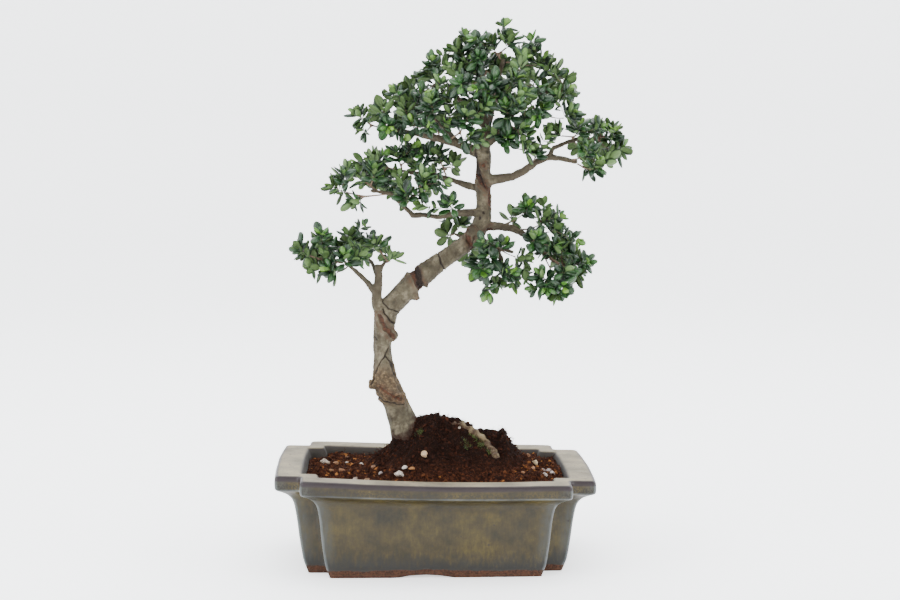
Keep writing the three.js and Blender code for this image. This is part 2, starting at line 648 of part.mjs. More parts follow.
// A leaf by itself, closed over the side of the shoot, to find out whether it has room
function bladeSolid(station, angle, i, leaf) {
  const corners = [-WHORL_HEIGHT / 2, WHORL_HEIGHT / 2].flatMap((lift) => {
    const ring = shootRing(station, angle, lift);
    return [ring[i], ring[(i + 1) % SHOOT_SIDES]];
  });
  const points = [...corners, ...leaf.outline, leaf.top, leaf.bottom];
  const upper = [2, 4, 5, 6, 7, 3];
  const lower = [0, 4, 5, 6, 7, 1];
  const index = [2, 0, 4, 1, 3, 7, 0, 2, 3, 0, 3, 1];
  upper.forEach((p, k) => index.push(8, p, upper[(k + 1) % 6]));
  lower.forEach((p, k) => index.push(9, lower[(k + 1) % 6], p));
  const positions = points.flatMap((p) => p.toArray());
  const geometry = new THREE.BufferGeometry();
  geometry.setAttribute('position', new THREE.Float32BufferAttribute(positions, 3));
  geometry.setIndex(index);
  return solidFrom(geometry);
}

// A bare shoot by itself, from a share of its first stretch on
function twigSolid({ stem, whorled }, from) {
  const [first, second, ...rest] = [...stem, ...[...whorled].reverse()];
  const centre = first.centre.clone().lerp(second.centre, from);
  const rings = [{ ...first, centre }, second, ...rest].map((station) => shootRing(station, 0, 0, 6));
  return solidFrom(skin(rings, false));
}

function boxesNear(a, b, reach) {
  return [0, 1, 2].every((k) => a.min[k] < b.max[k] + reach && b.min[k] < a.max[k] + reach);
}

function isClear(solid, others) {
  const box = solid.boundingBox();
  return others.every((other) => !boxesNear(box, other.box, CLEAR)
    || solid.minGap(other.solid, 2 * CLEAR) >= CLEAR);
}

// A shoot bends gently: no stretch between its stations is too short or leaves their axes by much.
function isSmooth({ stem, whorled }) {
  const stations = [...stem, ...[...whorled].reverse()];
  return stations.slice(1).every((station, i) => {
    const chord = station.centre.clone().sub(stations[i].centre);
    const reach = Math.min(chord.dot(station.axis), chord.dot(stations[i].axis));
    return reach > BEND_LIMIT * chord.length() && reach > SHORTEST_STRETCH;
  });
}

function asObstacle(solid, owner) {
  return { solid, box: solid.boundingBox(), owner };
}

// Bare twigs come first. Outside the wood each must clear the twigs of other sprays, and past
// its root it must clear the wood.
function growTwigs(wood, swollenWood) {
  const twigs = [];
  const sprays = SPRAYS.map((row, n) => {
    let shoots = null;
    for (let attempt = 0; attempt < TWIG_TRIES; attempt += 1) {
      shoots = sprayCurves(row, 101 + 37 * n, attempt).map(shootStations);
      const isFree = shoots.every((shoot, k) => isSmooth(shoot)
        && isClear(twigSolid(shoot, k ? 0.4 : 0.8), [wood])
        && isClear(twigSolid(shoot, 0).subtract(swollenWood), twigs));
      if (isFree) break;
    }
    twigs.push(...shoots.map((shoot, k) => (
      asObstacle(twigSolid(shoot, 0).subtract(swollenWood), `${n}.${k}`)
    )));
    return shoots;
  });
  return { sprays, twigs };
}

// Each shoot turns until most of its leaves have room, and leaves out those that have none.
function growShoot({ stem, whorled }, n, k, obstacles) {
  const others = obstacles.filter(({ owner }) => owner !== `${n}.${k}`);
  let best = null;
  for (let attempt = 0; attempt < TURN_TRIES; attempt += 1) {
    const turn = ((n * 0.37 + k * 0.21) % 1) * Math.PI + TURN_STEP * attempt;
    const random = randomStream(7001 + 613 * n + 131 * k);
    const angleOf = (w) => turn - WHORL_TURN * (whorled.length - w);
    const bare = whorled.map((station, w) => ({ station, angle: angleOf(w), leaves: null }));
    const own = [solidFrom(shootGeometry(stem, bare, turn))];
    const whorls = whorled.map((station, w) => {
      const leaves = whorlLeaves(station, angleOf(w), WHORL_SPREADS[w], random).map((leaf, i) => {
        const blade = bladeSolid(station, angleOf(w), i, leaf);
        if (!isClear(blade, others)) return null;
        if (own.some((other) => blade.intersect(other).volume() > TOUCH)) return null;
        own.push(blade);
        return leaf;
      });
      return { station, angle: angleOf(w), leaves };
    });
    const blades = own.slice(1);
    if (!best || blades.length > best.blades.length) best = { turn, whorls, blades };
    if (blades.length === whorled.length * SHOOT_SIDES) break;
  }
  obstacles.push(...best.blades.map((blade) => asObstacle(blade, `${n}.${k}`)));
  return solidFrom(shootGeometry(stem, best.whorls, best.turn));
}

function makeSprays(plainWood, swollenWood) {
  const wood = asObstacle(plainWood, 'wood');
  const { sprays, twigs } = growTwigs(wood, swollenWood);
  const obstacles = [wood, ...twigs];
  return sprays.map((shoots, n) => {
    const solids = shoots.map((shoot, k) => growShoot(shoot, n, k, obstacles));
    const spray = wasm.Manifold.union(solids).subtract(swollenWood);
    return [`spray_${SPRAYS[n][0]}`, biggest(spray)];
  });
}

// Colours and finishes

const LOOKS = {
  pot: { color: 0x6e6a50, roughness: 0.45, metalness: 0 },
  drain_mesh: { color: 0x22262a, roughness: 0.6, metalness: 0 },
  soil: { color: 0x3a2118, roughness: 0.95, metalness: 0 },
  trunk: { color: 0xa1957c, roughness: 0.85, metalness: 0 },
  spray: { color: 0x3f6a3c, roughness: 0.4, metalness: 0 },
};

function addPart(group, name, solid, look) {
  const material = new THREE.MeshStandardMaterial({ ...look, flatShading: true });
  const mesh = new THREE.Mesh(geometryFrom(solid), material);
  mesh.name = name;
  group.add(mesh);
}

const planted = new THREE.Group();
const wood = makeWood(0);
const swollenWood = makeWood(GAP);
const drainMeshes = [makeDrainMesh(-DRAIN_X), makeDrainMesh(DRAIN_X)];
addPart(planted, 'pot', makePot(), LOOKS.pot);
addPart(planted, 'drain_mesh_left', drainMeshes[0], LOOKS.drain_mesh);
addPart(planted, 'drain_mesh_right', drainMeshes[1], LOOKS.drain_mesh);
addPart(planted, 'soil', makeSoil(swollenWood, drainMeshes), LOOKS.soil);
addPart(planted, 'trunk', wood, LOOKS.trunk);
makeSprays(wood, swollenWood).forEach(([name, solid]) => addPart(planted, name, solid, LOOKS.spray));

// The whole part stands centred on its own box, on the ground
const box = new THREE.Box3().setFromObject(planted);
planted.position.set(-(box.min.x + box.max.x) / 2, -(box.min.y + box.max.y) / 2, -box.min.z);

const bonsai = new THREE.Group();
bonsai.add(planted);
bonsai.updateMatrixWorld(true);

export default bonsai;
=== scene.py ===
import math
import random

import bmesh
import bpy
import numpy as np
from mathutils import Euler, Matrix, Vector, noise
from mathutils.bvhtree import BVHTree


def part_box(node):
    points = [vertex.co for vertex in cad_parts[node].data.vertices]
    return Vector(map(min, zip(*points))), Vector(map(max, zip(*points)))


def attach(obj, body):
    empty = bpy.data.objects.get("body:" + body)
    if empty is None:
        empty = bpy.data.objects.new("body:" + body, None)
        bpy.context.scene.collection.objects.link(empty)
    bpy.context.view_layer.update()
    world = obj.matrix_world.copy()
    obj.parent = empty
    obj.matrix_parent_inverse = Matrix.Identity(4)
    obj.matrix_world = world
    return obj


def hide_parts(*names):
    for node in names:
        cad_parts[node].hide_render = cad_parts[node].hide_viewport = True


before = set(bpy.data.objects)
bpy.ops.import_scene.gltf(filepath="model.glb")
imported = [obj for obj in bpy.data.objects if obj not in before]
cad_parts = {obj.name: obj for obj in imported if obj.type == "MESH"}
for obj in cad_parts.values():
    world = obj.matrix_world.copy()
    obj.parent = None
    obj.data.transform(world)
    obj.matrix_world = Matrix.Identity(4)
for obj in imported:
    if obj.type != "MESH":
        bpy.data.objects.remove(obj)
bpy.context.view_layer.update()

# Camera, lights and floor
# The camera stands a little left of the pot and a little above its middle, as for a catalogue
# picture: a long lens, level, tipped slightly down. The pot's own middle places everything else.
MM = 0.001
pot_low, pot_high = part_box("pot")
POT_X = (pot_low.x + pot_high.x) / 2
CAMERA_PLACE = (POT_X - 0.0233, -0.9383, 0.2352)
CAMERA_PITCH_DOWN = 0.093
CAMERA_YAW_RIGHT = 0.0346
CAMERA_LENS_MM = 66.9
SENSOR_WIDTH_MM = 36

camera_data = bpy.data.cameras.new("camera")
camera_data.lens = CAMERA_LENS_MM
camera_data.sensor_width = SENSOR_WIDTH_MM
camera = bpy.data.objects.new("camera", camera_data)
camera.location = CAMERA_PLACE
camera.rotation_euler = (math.pi / 2 - CAMERA_PITCH_DOWN, 0, -CAMERA_YAW_RIGHT)
bpy.context.scene.collection.objects.link(camera)
bpy.context.scene.camera = camera


def linear(hex_colour):
    """An sRGB colour such as 6e6a50 as linear RGBA."""
    parts = [int(hex_colour[i:i + 2], 16) / 255 for i in (0, 2, 4)]
    return (*(c / 12.92 if c <= 0.04045 else ((c + 0.055) / 1.055) ** 2.4 for c in parts), 1.0)


def new_material(name):
    """An empty material with its principled shader: (material, node tree, shader)."""
    material = bpy.data.materials.new(name)
    material.use_nodes = True
    return material, material.node_tree, material.node_tree.nodes["Principled BSDF"]


def wire(tree, node, inputs):
    """Gives inputs a value, a hex colour, or a link from a socket or a node's first live output."""
    for name, value in dict(inputs).items():
        socket = node.inputs[name]
        if isinstance(value, bpy.types.Node):
            value = next(output for output in value.outputs if output.enabled)
        if isinstance(value, bpy.types.NodeSocket):
            tree.links.new(value, socket)
        else:
            socket.default_value = linear(value) if socket.type == "RGBA" else value


def add_node(tree, kind, inputs=(), stops=(), **settings):
    """Adds a node with its settings, its inputs and a ramp's stops, each (place, hex colour)."""
    made = tree.nodes.new(kind)
    for name, value in settings.items():
        setattr(made, name, value)
    wire(tree, made, inputs)
    for number, (place, colour) in enumerate(stops):
        ramp = made.color_ramp.elements
        stop = ramp[number] if number < 2 else ramp.new(place)
        stop.position = place
        stop.color = linear(colour)
    return made


def add_object(name, mesh):
    made = bpy.data.objects.new(name, mesh)
    bpy.context.scene.collection.objects.link(made)
    return made


def mesh_from(name, points, faces, smooth=True):
    mesh = bpy.data.meshes.new(name)
    mesh.from_pydata(points, [], faces)
    mesh.polygons.foreach_set("use_smooth", [smooth] * len(mesh.polygons))
    mesh.update()
    return mesh


def ring_faces(rows, around, flip=False):
    """Quads between rows of points, where each row is a closed ring of the same count."""
    faces = []
    for start in range(0, (rows - 1) * around, around):
        for i in range(around):
            here, after = start + i, start + (i + 1) % around
            face = (here, after, after + around, here + around)
            faces.append(face[:1] + face[:0:-1] if flip else face)
    return faces


# The studio: a round pale sweep, so that the floor runs up into the backdrop on every side
SWEEP_PROFILE = [(0, 0), (1.6, 0), (2.2, 0.06), (2.6, 0.3), (2.8, 0.8), (2.85, 2.2)]
SWEEP_SIDES = 96
sweep_points = [
    (POT_X + r * math.cos(math.tau * i / SWEEP_SIDES), r * math.sin(math.tau * i / SWEEP_SIDES), z)
    for r, z in SWEEP_PROFILE for i in range(SWEEP_SIDES)
]
sweep_faces = ring_faces(len(SWEEP_PROFILE), SWEEP_SIDES)
floor = add_object("floor", mesh_from("floor", sweep_points, sweep_faces))
paper, tree, shader = new_material("pale studio paper")
wire(tree, shader, {
    "Base Color": "fbfcfd", "Roughness": 0.9, "Emission Color": "ffffff", "Emission Strength": 1.0})
floor.data.materials.append(paper)

world = bpy.data.worlds.new("studio air")
world.use_nodes = True
wire(world.node_tree, world.node_tree.nodes["Background"], {"Color": "f4f7fb", "Strength": 1.45})
bpy.context.scene.world = world

DAYLIGHT = (0.97, 0.985, 1.0)
# Softboxes: place, what they aim at, size and power
LIGHTS = {
    "overhead": ((0.0, 0.25, 1.5), (0, 0, 0.12), 1.5, 40),
    "left": ((-1.25, -0.75, 0.95), (0, 0, 0.15), 0.9, 17),
    "right": ((1.25, -0.55, 0.85), (0, 0, 0.15), 0.9, 10),
}
for name, (place, aim, size, power) in LIGHTS.items():
    light_data = bpy.data.lights.new(name, "AREA")
    light_data.size = size
    light_data.energy = power
    light_data.color = DAYLIGHT
    light = bpy.data.objects.new(name, light_data)
    light.location = place
    light.rotation_euler = (Vector(aim) - Vector(place)).to_track_quat("-Z", "Y").to_euler()
    bpy.context.scene.collection.objects.link(light)


# Pot
# Pressed stoneware with set-back corners and a thick flat rim, dipped in an olive-grey glaze that
# runs thin and pale on its edges, with a bluish highlight painted along them, and pools dark above
# the foot. The foot ring was wiped bare.
# Sizes in mm, all places counted from the pot's middle
POT_HEIGHT = 55
RIM_HALF = 87
HALF_DEPTH_LESS = 25
FLOOR_TOP = 7
CORNER_ROUND = 2.4
INNER_CORNER_ROUND = 3.36
CORNER_STEPS = 5
FACE_PIECES = 22
SETBACK_PIECES = 4
LONGEST_SETBACK = 14
CORNER_SHADE_REACH = 6
DRAIN_X = 34
DRAIN_RADIUS = 7
CUTTER_LENGTH = 30
CUTTER_Z = 2

# Half length, height, corner set-back, bow of the long sides, and how the glaze lies there:
# edge where it runs thin and takes a painted highlight, top on the flat of the rim, inside where no glaze
# shows
POT_PROFILE = [
    (61.4, 4, 14, 0, 0, 0, 0), (62.0, 0.6, 14, 0, 0, 0, 0), (62.4, 0, 14, 0, 0, 0, 0),
    (69.6, 0, 12.3, 0.5, 0, 0, 0), (70.3, 0.5, 12.3, 0.5, 0, 0, 0), (71.6, 4, 12.4, 0.6, 0, 0, 0),
    (72.8, 8, 12.5, 0.8, 0, 0, 0), (74.6, 20, 12.8, 1.2, 0, 0, 0), (75.9, 31, 13.1, 1.6, 0, 0, 0),
    (77.6, 39.5, 13.4, 2, 0, 0, 0), (80.2, 43.5, 13.6, 2.4, 0, 0, 0), (83.4, 45.7, 13.8, 2.7, 0, 0, 0),
    (85.6, 46.8, 13.9, 2.8, 0.5, 0, 0), (86.7, 47.6, 14, 3, 1, 0, 0), (87, 48.8, 14, 3, 0.2, 0, 0),
    (87.1, 51, 14, 3, 0, 0, 0), (87, 53.1, 14, 3, 0.3, 0, 0), (86.7, 54.2, 14, 3, 0.2, 0, 0),
    (86, 54.9, 14, 3, 0.2, 0.3, 0), (84.6, 55.1, 13.6, 2.8, 0, 1, 0), (79.5, 55.2, 12, 2.4, 0, 1, 0),
    (74.6, 55, 10, 1.8, 0, 1, 0), (73.2, 54.5, 9.2, 1.5, 0.8, 0.7, 0.3), (72.4, 53.4, 9, 1.5, 0.2, 0, 1),
    (71.6, 51, 9.1, 1.4, 0, 0, 1), (70, 40, 10, 1.1, 0, 0, 1), (64.9, 8.2, 12.2, 0.5, 0, 0, 1),
    (63.6, FLOOR_TOP, 12.3, 0.5, 0, 0, 1),
]
ROWS_BETWEEN = 3


def rounded_outline(half_x, half_y, notch, bow):
    """One level of the pot as (x, y, edge): a rectangle with set-back, rounded corners."""
    face_x, face_y = half_x - notch, half_y - notch
    corners = []
    for sx, sy in ((1, -1), (1, 1), (-1, 1), (-1, -1)):
        three = [(sx * face_x, sy * half_y), (sx * face_x, sy * face_y), (sx * half_x, sy * face_y)]
        corners += three if sx * sy < 0 else three[::-1]
    corners = [Vector(corner) for corner in corners]
    rounds = [INNER_CORNER_ROUND if i % 3 == 1 else CORNER_ROUND for i in range(len(corners))]
    points = []
    for i, here in enumerate(corners):
        after = corners[(i + 1) % len(corners)]
        enter = here + (corners[i - 1] - here).normalized() * rounds[i]
        leave = here + (after - here).normalized() * rounds[i]
        for step in range(CORNER_STEPS + 1):
            t = step / CORNER_STEPS
            place = enter * (1 - t) ** 2 + here * 2 * t * (1 - t) + leave * t ** 2
            points.append((place.x, place.y, math.sin(math.pi * t) if i % 3 != 1 else 0))
        stop = after + (here - after).normalized() * rounds[(i + 1) % len(corners)]
        pieces = SETBACK_PIECES if (stop - leave).length < LONGEST_SETBACK else FACE_PIECES
        points += [(*leave.lerp(stop, s / pieces), 0) for s in range(1, pieces)]
    bowed = []
    for x, y, edge in points:
        along_x, along_y = min(1, abs(x) / face_x), min(1, abs(y) / face_y)
        if abs(y) > face_y:
            y += math.copysign(bow * (1 - along_x ** 2), y)
        if abs(x) > face_x:
            x += math.copysign(0.5 * bow * (1 - along_y ** 2), x)
        bowed.append((x, y, edge))
    return bowed


def smooth_rows(rows, between):
    """Rows of numbers with more rows between them on a smooth curve through each."""
    fine = []
    for i in range(len(rows) - 1):
        a, b, c, d = (rows[min(max(j, 0), len(rows) - 1)] for j in (i - 1, i, i + 1, i + 2))
        for step in range(between):
            t = step / between
            fine.append([
                0.5 * (2 * q + (r - p) * t + (2 * p - 5 * q + 4 * r - s) * t * t
                       + (3 * q - p - 3 * r + s) * t ** 3)
                for p, q, r, s in zip(a, b, c, d)
            ])
    return fine + [list(rows[-1])]


def give_numbers(mesh, name, values):
    """Stores one number for each point of a mesh, for its material to read."""
    mesh.attributes.new(name, "FLOAT", "POINT").data.foreach_set("value", values)


pot_points = []
pot_numbers = {label: [] for label in ("height", "thin_glaze_and_highlight", "near_corner_shade", "rim_flat", "pot_inside")}
pot_rows = smooth_rows(POT_PROFILE, ROWS_BETWEEN)
for half, z, notch, bow, edge, top, inside in pot_rows:
    z = max(0, z)
    ring = rounded_outline(half, half - HALF_DEPTH_LESS, notch, bow)
    for x, y, corner in ring:
        pot_points.append((POT_X + x * MM, y * MM, z * MM))
        pot_numbers["height"].append(z)
        long_side = math.hypot(abs(x) - half + notch, abs(y) - half + HALF_DEPTH_LESS)
        short_side = math.hypot(abs(x) - half, abs(y) - half + HALF_DEPTH_LESS + notch)
        # Painted shade near the upright corners, fading with the distance from them
        corner_shade = math.exp(-(min(long_side, short_side) / CORNER_SHADE_REACH) ** 2)
        # Thin glaze on the edges and rounded corners, where a bluish highlight is painted too
        shares = {"thin_glaze_and_highlight": max(edge, corner), "near_corner_shade": corner_shade, "rim_flat": top, "pot_inside": inside}
        for label, share in shares.items():
            pot_numbers[label].append(max(0, min(1, share)))
around = len(ring)
last = len(pot_points)
pot_faces = ring_faces(len(pot_rows), around)
pot_faces += [tuple(range(around))[::-1], tuple(range(last - around, last))]
pot_mesh = mesh_from("stoneware_pot", pot_points, pot_faces)
for label, values in pot_numbers.items():
    give_numbers(pot_mesh, label, values)

# Stoneware glaze: glassy and half gloss over a slightly wavy body, with iron specks
glaze, tree, shader = new_material("olive stoneware glaze")
place = add_node(tree, "ShaderNodeTexCoord").outputs["Object"]
height, thin, corner_shade, rim_flat, inside = (
    add_node(tree, "ShaderNodeAttribute", attribute_name=label).outputs["Fac"] for label in pot_numbers)
# Clouds of 20 mm, streaks 1.5 mm wide and five times as long, specks of 0.8 mm, waves of 4 mm,
# and cells 8 mm apart for the pinholes
stretch = add_node(tree, "ShaderNodeMapping", {"Vector": place, "Scale": (1, 1, 0.22)})
clouds, streaks, specks, waves = (
    add_node(tree, "ShaderNodeTexNoise", {
        "Vector": lie, "Scale": scale, "Detail": detail, "Roughness": rough})
    for lie, scale, detail, rough in (
        (place, 50, 10, 0.68), (stretch, 620, 3, 0.65), (place, 1100, 2, 0.5), (place, 260, 4, 0.55)))
cells = add_node(tree, "ShaderNodeTexVoronoi", {"Vector": place, "Scale": 125, "Randomness": 1.0})
corner_shade_run, thin_edge_and_highlight = (
    add_node(tree, "ShaderNodeMath", {0: mark, 1: pattern}, operation="MULTIPLY")
    for mark, pattern in ((corner_shade, streaks), (thin, clouds)))
# Heights in mm that waver with a pattern: by how many mm
pool_line, burnt_line, clay_line = (
    add_node(tree, "ShaderNodeMath", {0: pattern, 1: by, 2: height}, operation="MULTIPLY_ADD")
    for pattern, by in ((streaks, -15.0), (clouds, 2.0), (clouds, 6.0)))
# Where each colour lies: what is read, where it starts, where it is full, and how strong it gets
where = {
    name: add_node(tree, "ShaderNodeMapRange", {
        "Value": read, "From Min": start, "From Max": full, "To Max": most})
    for name, read, start, full, most in (
        ("fleck", specks, 0.58, 0.68, 0.4), ("corner_shade", corner_shade_run, 0.08, 0.5, 0.8),
        ("pool", pool_line, 8.0, -1.0, 0.95), ("band_top", height, 52.5, 50.0, 1),
        ("band_foot", height, 46.8, 47.8, 1), ("mottle", specks, 0.44, 0.54, 0.85),
        ("edge", thin_edge_and_highlight, 0.25, 0.7, 0.42), ("grime", specks, 0.58, 0.7, 0.5),
        ("line", burnt_line, 52.9, 53.8, 1), ("off_flat", rim_flat, 0.98, 0.55, 0.95),
        ("pinhole", cells, 0.1, 0.06, 0.8), ("bare", clay_line, 7.7, 7.2, 1))
}
for name, first, second in (
    ("band_height", "band_top", "band_foot"), ("band", "band_height", "mottle"),
    ("burnt", "line", "off_flat"),
):
    where[name] = add_node(
        tree, "ShaderNodeMath", {0: where[first], 1: where[second]}, operation="MULTIPLY")
olive, flat_grey, clay = (
    add_node(tree, "ShaderNodeValToRGB", {"Fac": pattern}, stops=stops) for pattern, stops in (
        (clouds, [(0.34, "1c1605"), (0.66, "4a3e13"), (0.5, "332a0a")]),
        (clouds, [(0.32, "4f483a"), (0.7, "867c64")]), (specks, [(0.35, "23140b"), (0.68, "432819")])))
# A colour mix takes its share on socket 0 and its colours on 6 and 7
flat_glaze = add_node(tree, "ShaderNodeMix", {
    0: where["grime"], 6: flat_grey, 7: "332d24"}, data_type="RGBA")
colour = add_node(tree, "ShaderNodeMix", {
    0: streaks, 6: olive, 7: "5e5a4e"}, data_type="RGBA", blend_type="OVERLAY")
for share, over in (
    (where["fleck"], "241d0f"),   # iron flecks a millimetre across
    (where["corner_shade"], "2f302c"),    # painted bluish shade along the upright corners
    (where["pool"], "171614"),    # pooled dark from 4 to 15 mm above the ground
    (where["band"], "17120c"),    # the lower half of the rim's band, mottled
    (where["edge"], "677074"),    # thin on the edges, so pale, with a painted bluish highlight
    (rim_flat, flat_glaze),       # matt and grey-beige on the flat of the rim
    (where["burnt"], "1c1316"),   # a burnt line 2 mm deep along the rim's outer edge
    (inside, "2b2723"),           # earth-stained inside
    (where["pinhole"], "1c1713"),
    (where["bare"], clay),        # the wiped foot, 4 to 5 mm up
):
    colour = add_node(tree, "ShaderNodeMix", {0: share, 6: colour, 7: over}, data_type="RGBA")
dull = add_node(tree, "ShaderNodeMath", {0: where["bare"], 1: inside}, operation="MAXIMUM")
half_dull = add_node(tree, "ShaderNodeMath", {0: rim_flat, 1: 0.35, 2: 0.3}, operation="MULTIPLY_ADD")
rough = add_node(tree, "ShaderNodeMix", {"Factor": dull, "A": half_dull, "B": 0.9})
bump = add_node(tree, "ShaderNodeBump", {"Height": waves, "Strength": 0.35, "Distance": 0.0006})
grit = add_node(tree, "ShaderNodeBump", {
    "Height": specks, "Strength": 0.25, "Distance": 0.0003, "Normal": bump})
wire(tree, shader, {
    "Base Color": colour, "Roughness": rough, "IOR": 1.5, "Specular IOR Level": 0.26, "Normal": grit})

# What the fire did to the pressed shape: the rim drops to the right and sags in the middle of its
# length, the walls warp a little, and the arch in the foot lifts both long sides off the shelf
FIRED = {
    "Middle": POT_X, "Pot height": POT_HEIGHT * MM, "Half length": RIM_HALF * MM, "Rim drop": 2 * MM,
    "Rim sag": 1 * MM, "Half sag length": 60 * MM, "Arch middle": -6 * MM, "Arch half width": 15 * MM,
    "Arch rise": 1.8 * MM, "Warp": 0.8 * MM,
}


def new_tree(name, inputs):
    """A geometry node tree that takes a geometry and these inputs, each with its kind."""
    tree = bpy.data.node_groups.new(name, "GeometryNodeTree")
    for label, kind in {"Geometry": "Geometry", **inputs}.items():
        tree.interface.new_socket(name=label, in_out="INPUT", socket_type="NodeSocket" + kind)
    tree.interface.new_socket(name="Geometry", in_out="OUTPUT", socket_type="NodeSocketGeometry")
    return tree


def put_tree(thing, tree, values):
    """Puts a tree on an object and sets its inputs, each by its socket's identifier."""
    modifier = thing.modifiers.new(tree.name, "NODES")
    modifier.node_group = tree
    for socket in tree.interface.items_tree:
        if socket.name in values:
            modifier[socket.identifier] = values[socket.name]


kiln = new_tree("firing", {label: "Float" for label in FIRED})
heat = {socket.name: socket for socket in add_node(kiln, "NodeGroupInput").outputs}
point = add_node(kiln, "GeometryNodeInputPosition")
at = add_node(kiln, "ShaderNodeSeparateXYZ", {0: point}).outputs
# Warp wanders over 28 mm
wander = add_node(kiln, "ShaderNodeTexNoise", {"Vector": point, "Scale": 36.0, "Detail": 1.0})
heat.update({"x": at[0], "z": at[2], "wander": wander})
for name, operation, first, second in (
    ("off", "SUBTRACT", "x", "Middle"),
    ("up", "DIVIDE", "z", "Pot height"),
    ("along", "DIVIDE", "off", "Half length"),
    ("tilt", "MULTIPLY", "up", "along"),
    ("drop", "MULTIPLY", "tilt", "Rim drop"),
    # Sag: most in the middle of the rim, with the fourth power of the height
    ("sag share", "DIVIDE", "off", "Half sag length"),
    ("sag square", "MULTIPLY", "sag share", "sag share"),
    ("sag fall", "SUBTRACT", 1.0, "sag square"),
    ("sag middle", "MAXIMUM", "sag fall", 0.0),
    ("near top", "POWER", "up", 4.0),
    ("bend", "MULTIPLY", "near top", "sag middle"),
    ("sag", "MULTIPLY", "bend", "Rim sag"),
    # Arch: a parabola over the ground, only for what stands lower than its crown
    ("from arch", "SUBTRACT", "off", "Arch middle"),
    ("arch share", "DIVIDE", "from arch", "Arch half width"),
    ("arch square", "MULTIPLY", "arch share", "arch share"),
    ("arch fall", "SUBTRACT", 1.0, "arch square"),
    ("arch", "MULTIPLY", "arch fall", "Arch rise"),
    ("short of arch", "SUBTRACT", "arch", "z"),
    ("lift", "MAXIMUM", "short of arch", 0.0),
    # Warp: to either side, dying away at the foot
    ("either way", "SUBTRACT", "wander", 0.5),
    ("steep", "MULTIPLY", "up", 2.5),
    ("high", "MINIMUM", "steep", 1.0),
    ("warped", "MULTIPLY", "either way", "high"),
    ("warp", "MULTIPLY", "warped", "Warp"),
    ("sunk", "ADD", "drop", "sag"),
    ("rise", "SUBTRACT", "lift", "sunk"),
):
    terms = {0: heat.get(first, first), 1: heat.get(second, second)}
    heat[name] = add_node(kiln, "ShaderNodeMath", terms, operation=operation)
shift = add_node(kiln, "ShaderNodeCombineXYZ", {0: heat["warp"], 1: heat["warp"], 2: heat["rise"]})
fired = add_node(kiln, "GeometryNodeSetPosition", {"Geometry": heat["Geometry"], "Offset": shift})
real = add_node(kiln, "GeometryNodeRealizeInstances", {"Geometry": fired})
glazed = add_node(kiln, "GeometryNodeSetMaterial", {"Geometry": real, "Material": glaze})
add_node(kiln, "NodeGroupOutput", {"Geometry": glazed})


def as_modified(thing):
    """The plain mesh that an object's modifiers make."""
    return bpy.data.meshes.new_from_object(thing.evaluated_get(bpy.context.evaluated_depsgraph_get()))


def finish_mesh(mesh, material):
    """Smooth shading and one material all over."""
    mesh.polygons.foreach_set("use_smooth", [True] * len(mesh.polygons))
    mesh.polygons.foreach_set("material_index", [0] * len(mesh.polygons))
    mesh.materials.clear()
    mesh.materials.append(material)


# The drain holes are cut through the floor with a round cutter
cutters = []
for x in (-DRAIN_X, DRAIN_X):
    bpy.ops.mesh.primitive_cylinder_add(
        vertices=48, radius=DRAIN_RADIUS * MM, depth=CUTTER_LENGTH * MM,
        location=(POT_X + x * MM, 0, CUTTER_Z * MM))
    cutters.append(bpy.context.object)
pot = add_object("stoneware_pot", pot_mesh)
put_tree(pot, kiln, FIRED)
for cutter in cutters:
    drilling = pot.modifiers.new("drain hole", "BOOLEAN")
    drilling.object = cutter
    drilling.solver = "EXACT"
fired_mesh = as_modified(pot)
pot.modifiers.clear()
pot.data = fired_mesh
for cutter in cutters:
    bpy.data.objects.remove(cutter)
finish_mesh(fired_mesh, glaze)
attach(pot, "root")
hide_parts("pot")


# Drain meshes
# Squares of black polyethylene mesh, cut with scissors and laid over the drain holes before
# potting. They show only from underneath.
drain_plastic, tree, shader = new_material("black polyethylene")
place = add_node(tree, "ShaderNodeTexCoord").outputs["Object"]
# Moulded mesh has a faint grain of about half a millimetre
grain = add_node(tree, "ShaderNodeTexNoise", {"Vector": place, "Scale": 2000, "Detail": 2})
shade = add_node(tree, "ShaderNodeValToRGB", {"Fac": grain}, stops=[(0.3, "1d2023"), (0.7, "2c3033")])
bump = add_node(tree, "ShaderNodeBump", {"Height": grain, "Strength": 0.3, "Distance": 0.0002})
wire(tree, shader, {"Base Color": shade, "Roughness": 0.55, "Normal": bump})
for name in ("drain_mesh_left", "drain_mesh_right"):
    mesh_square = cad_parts[name]
    mesh_square.data.materials.clear()
    mesh_square.data.materials.append(drain_plastic)


# Soil
# Fibrous peat with some baked clay grains, heaped round the roots and pressed down by hand.
# It settled some millimetres under the rim.
SOIL_LEVEL = 51
# The mound's crest from left to right, as (x, height) in mm
CREST = [
    (-58, 51), (-46, 52.5), (-38, 55), (-31.5, 60), (-26, 65), (-23, 69), (-19, 73), (-14, 78), (-9, 84.5),
    (-2, 85), (4, 81.5), (15, 80.5), (23, 75), (32, 73), (37, 72.5), (39.5, 75), (42, 70),
    (46, 63), (52, 56), (62, 51),
]
MOUND_X = 4
MOUND_Y = -3
MOUND_REACH = 42
# Height and width of its lumps
LUMPS = [(1.7, 5.5), (1.1, 2.4), (0.6, 1.1)]
# Watering washed soil from beside the bared root and from a hollow at the foot of the trunk:
# the root's line, then how deep and how far on each side
ROOT_LINE = [(16, -7), (22, -9), (28, -12), (31.5, -18), (34, -24)]
ROOT_WASH, ROOT_WASH_REACH = 1.6, 4.5
HOLLOW_X, HOLLOW_Y, HOLLOW_DEPTH, HOLLOW_REACH_X, HOLLOW_REACH_Y = -14, -8, 6, 9, 8


def crest_at(x):
    for (x0, z0), (x1, z1) in zip(CREST, CREST[1:]):
        if x0 <= x <= x1:
            return z0 + (z1 - z0) * (x - x0) / (x1 - x0)
    return SOIL_LEVEL


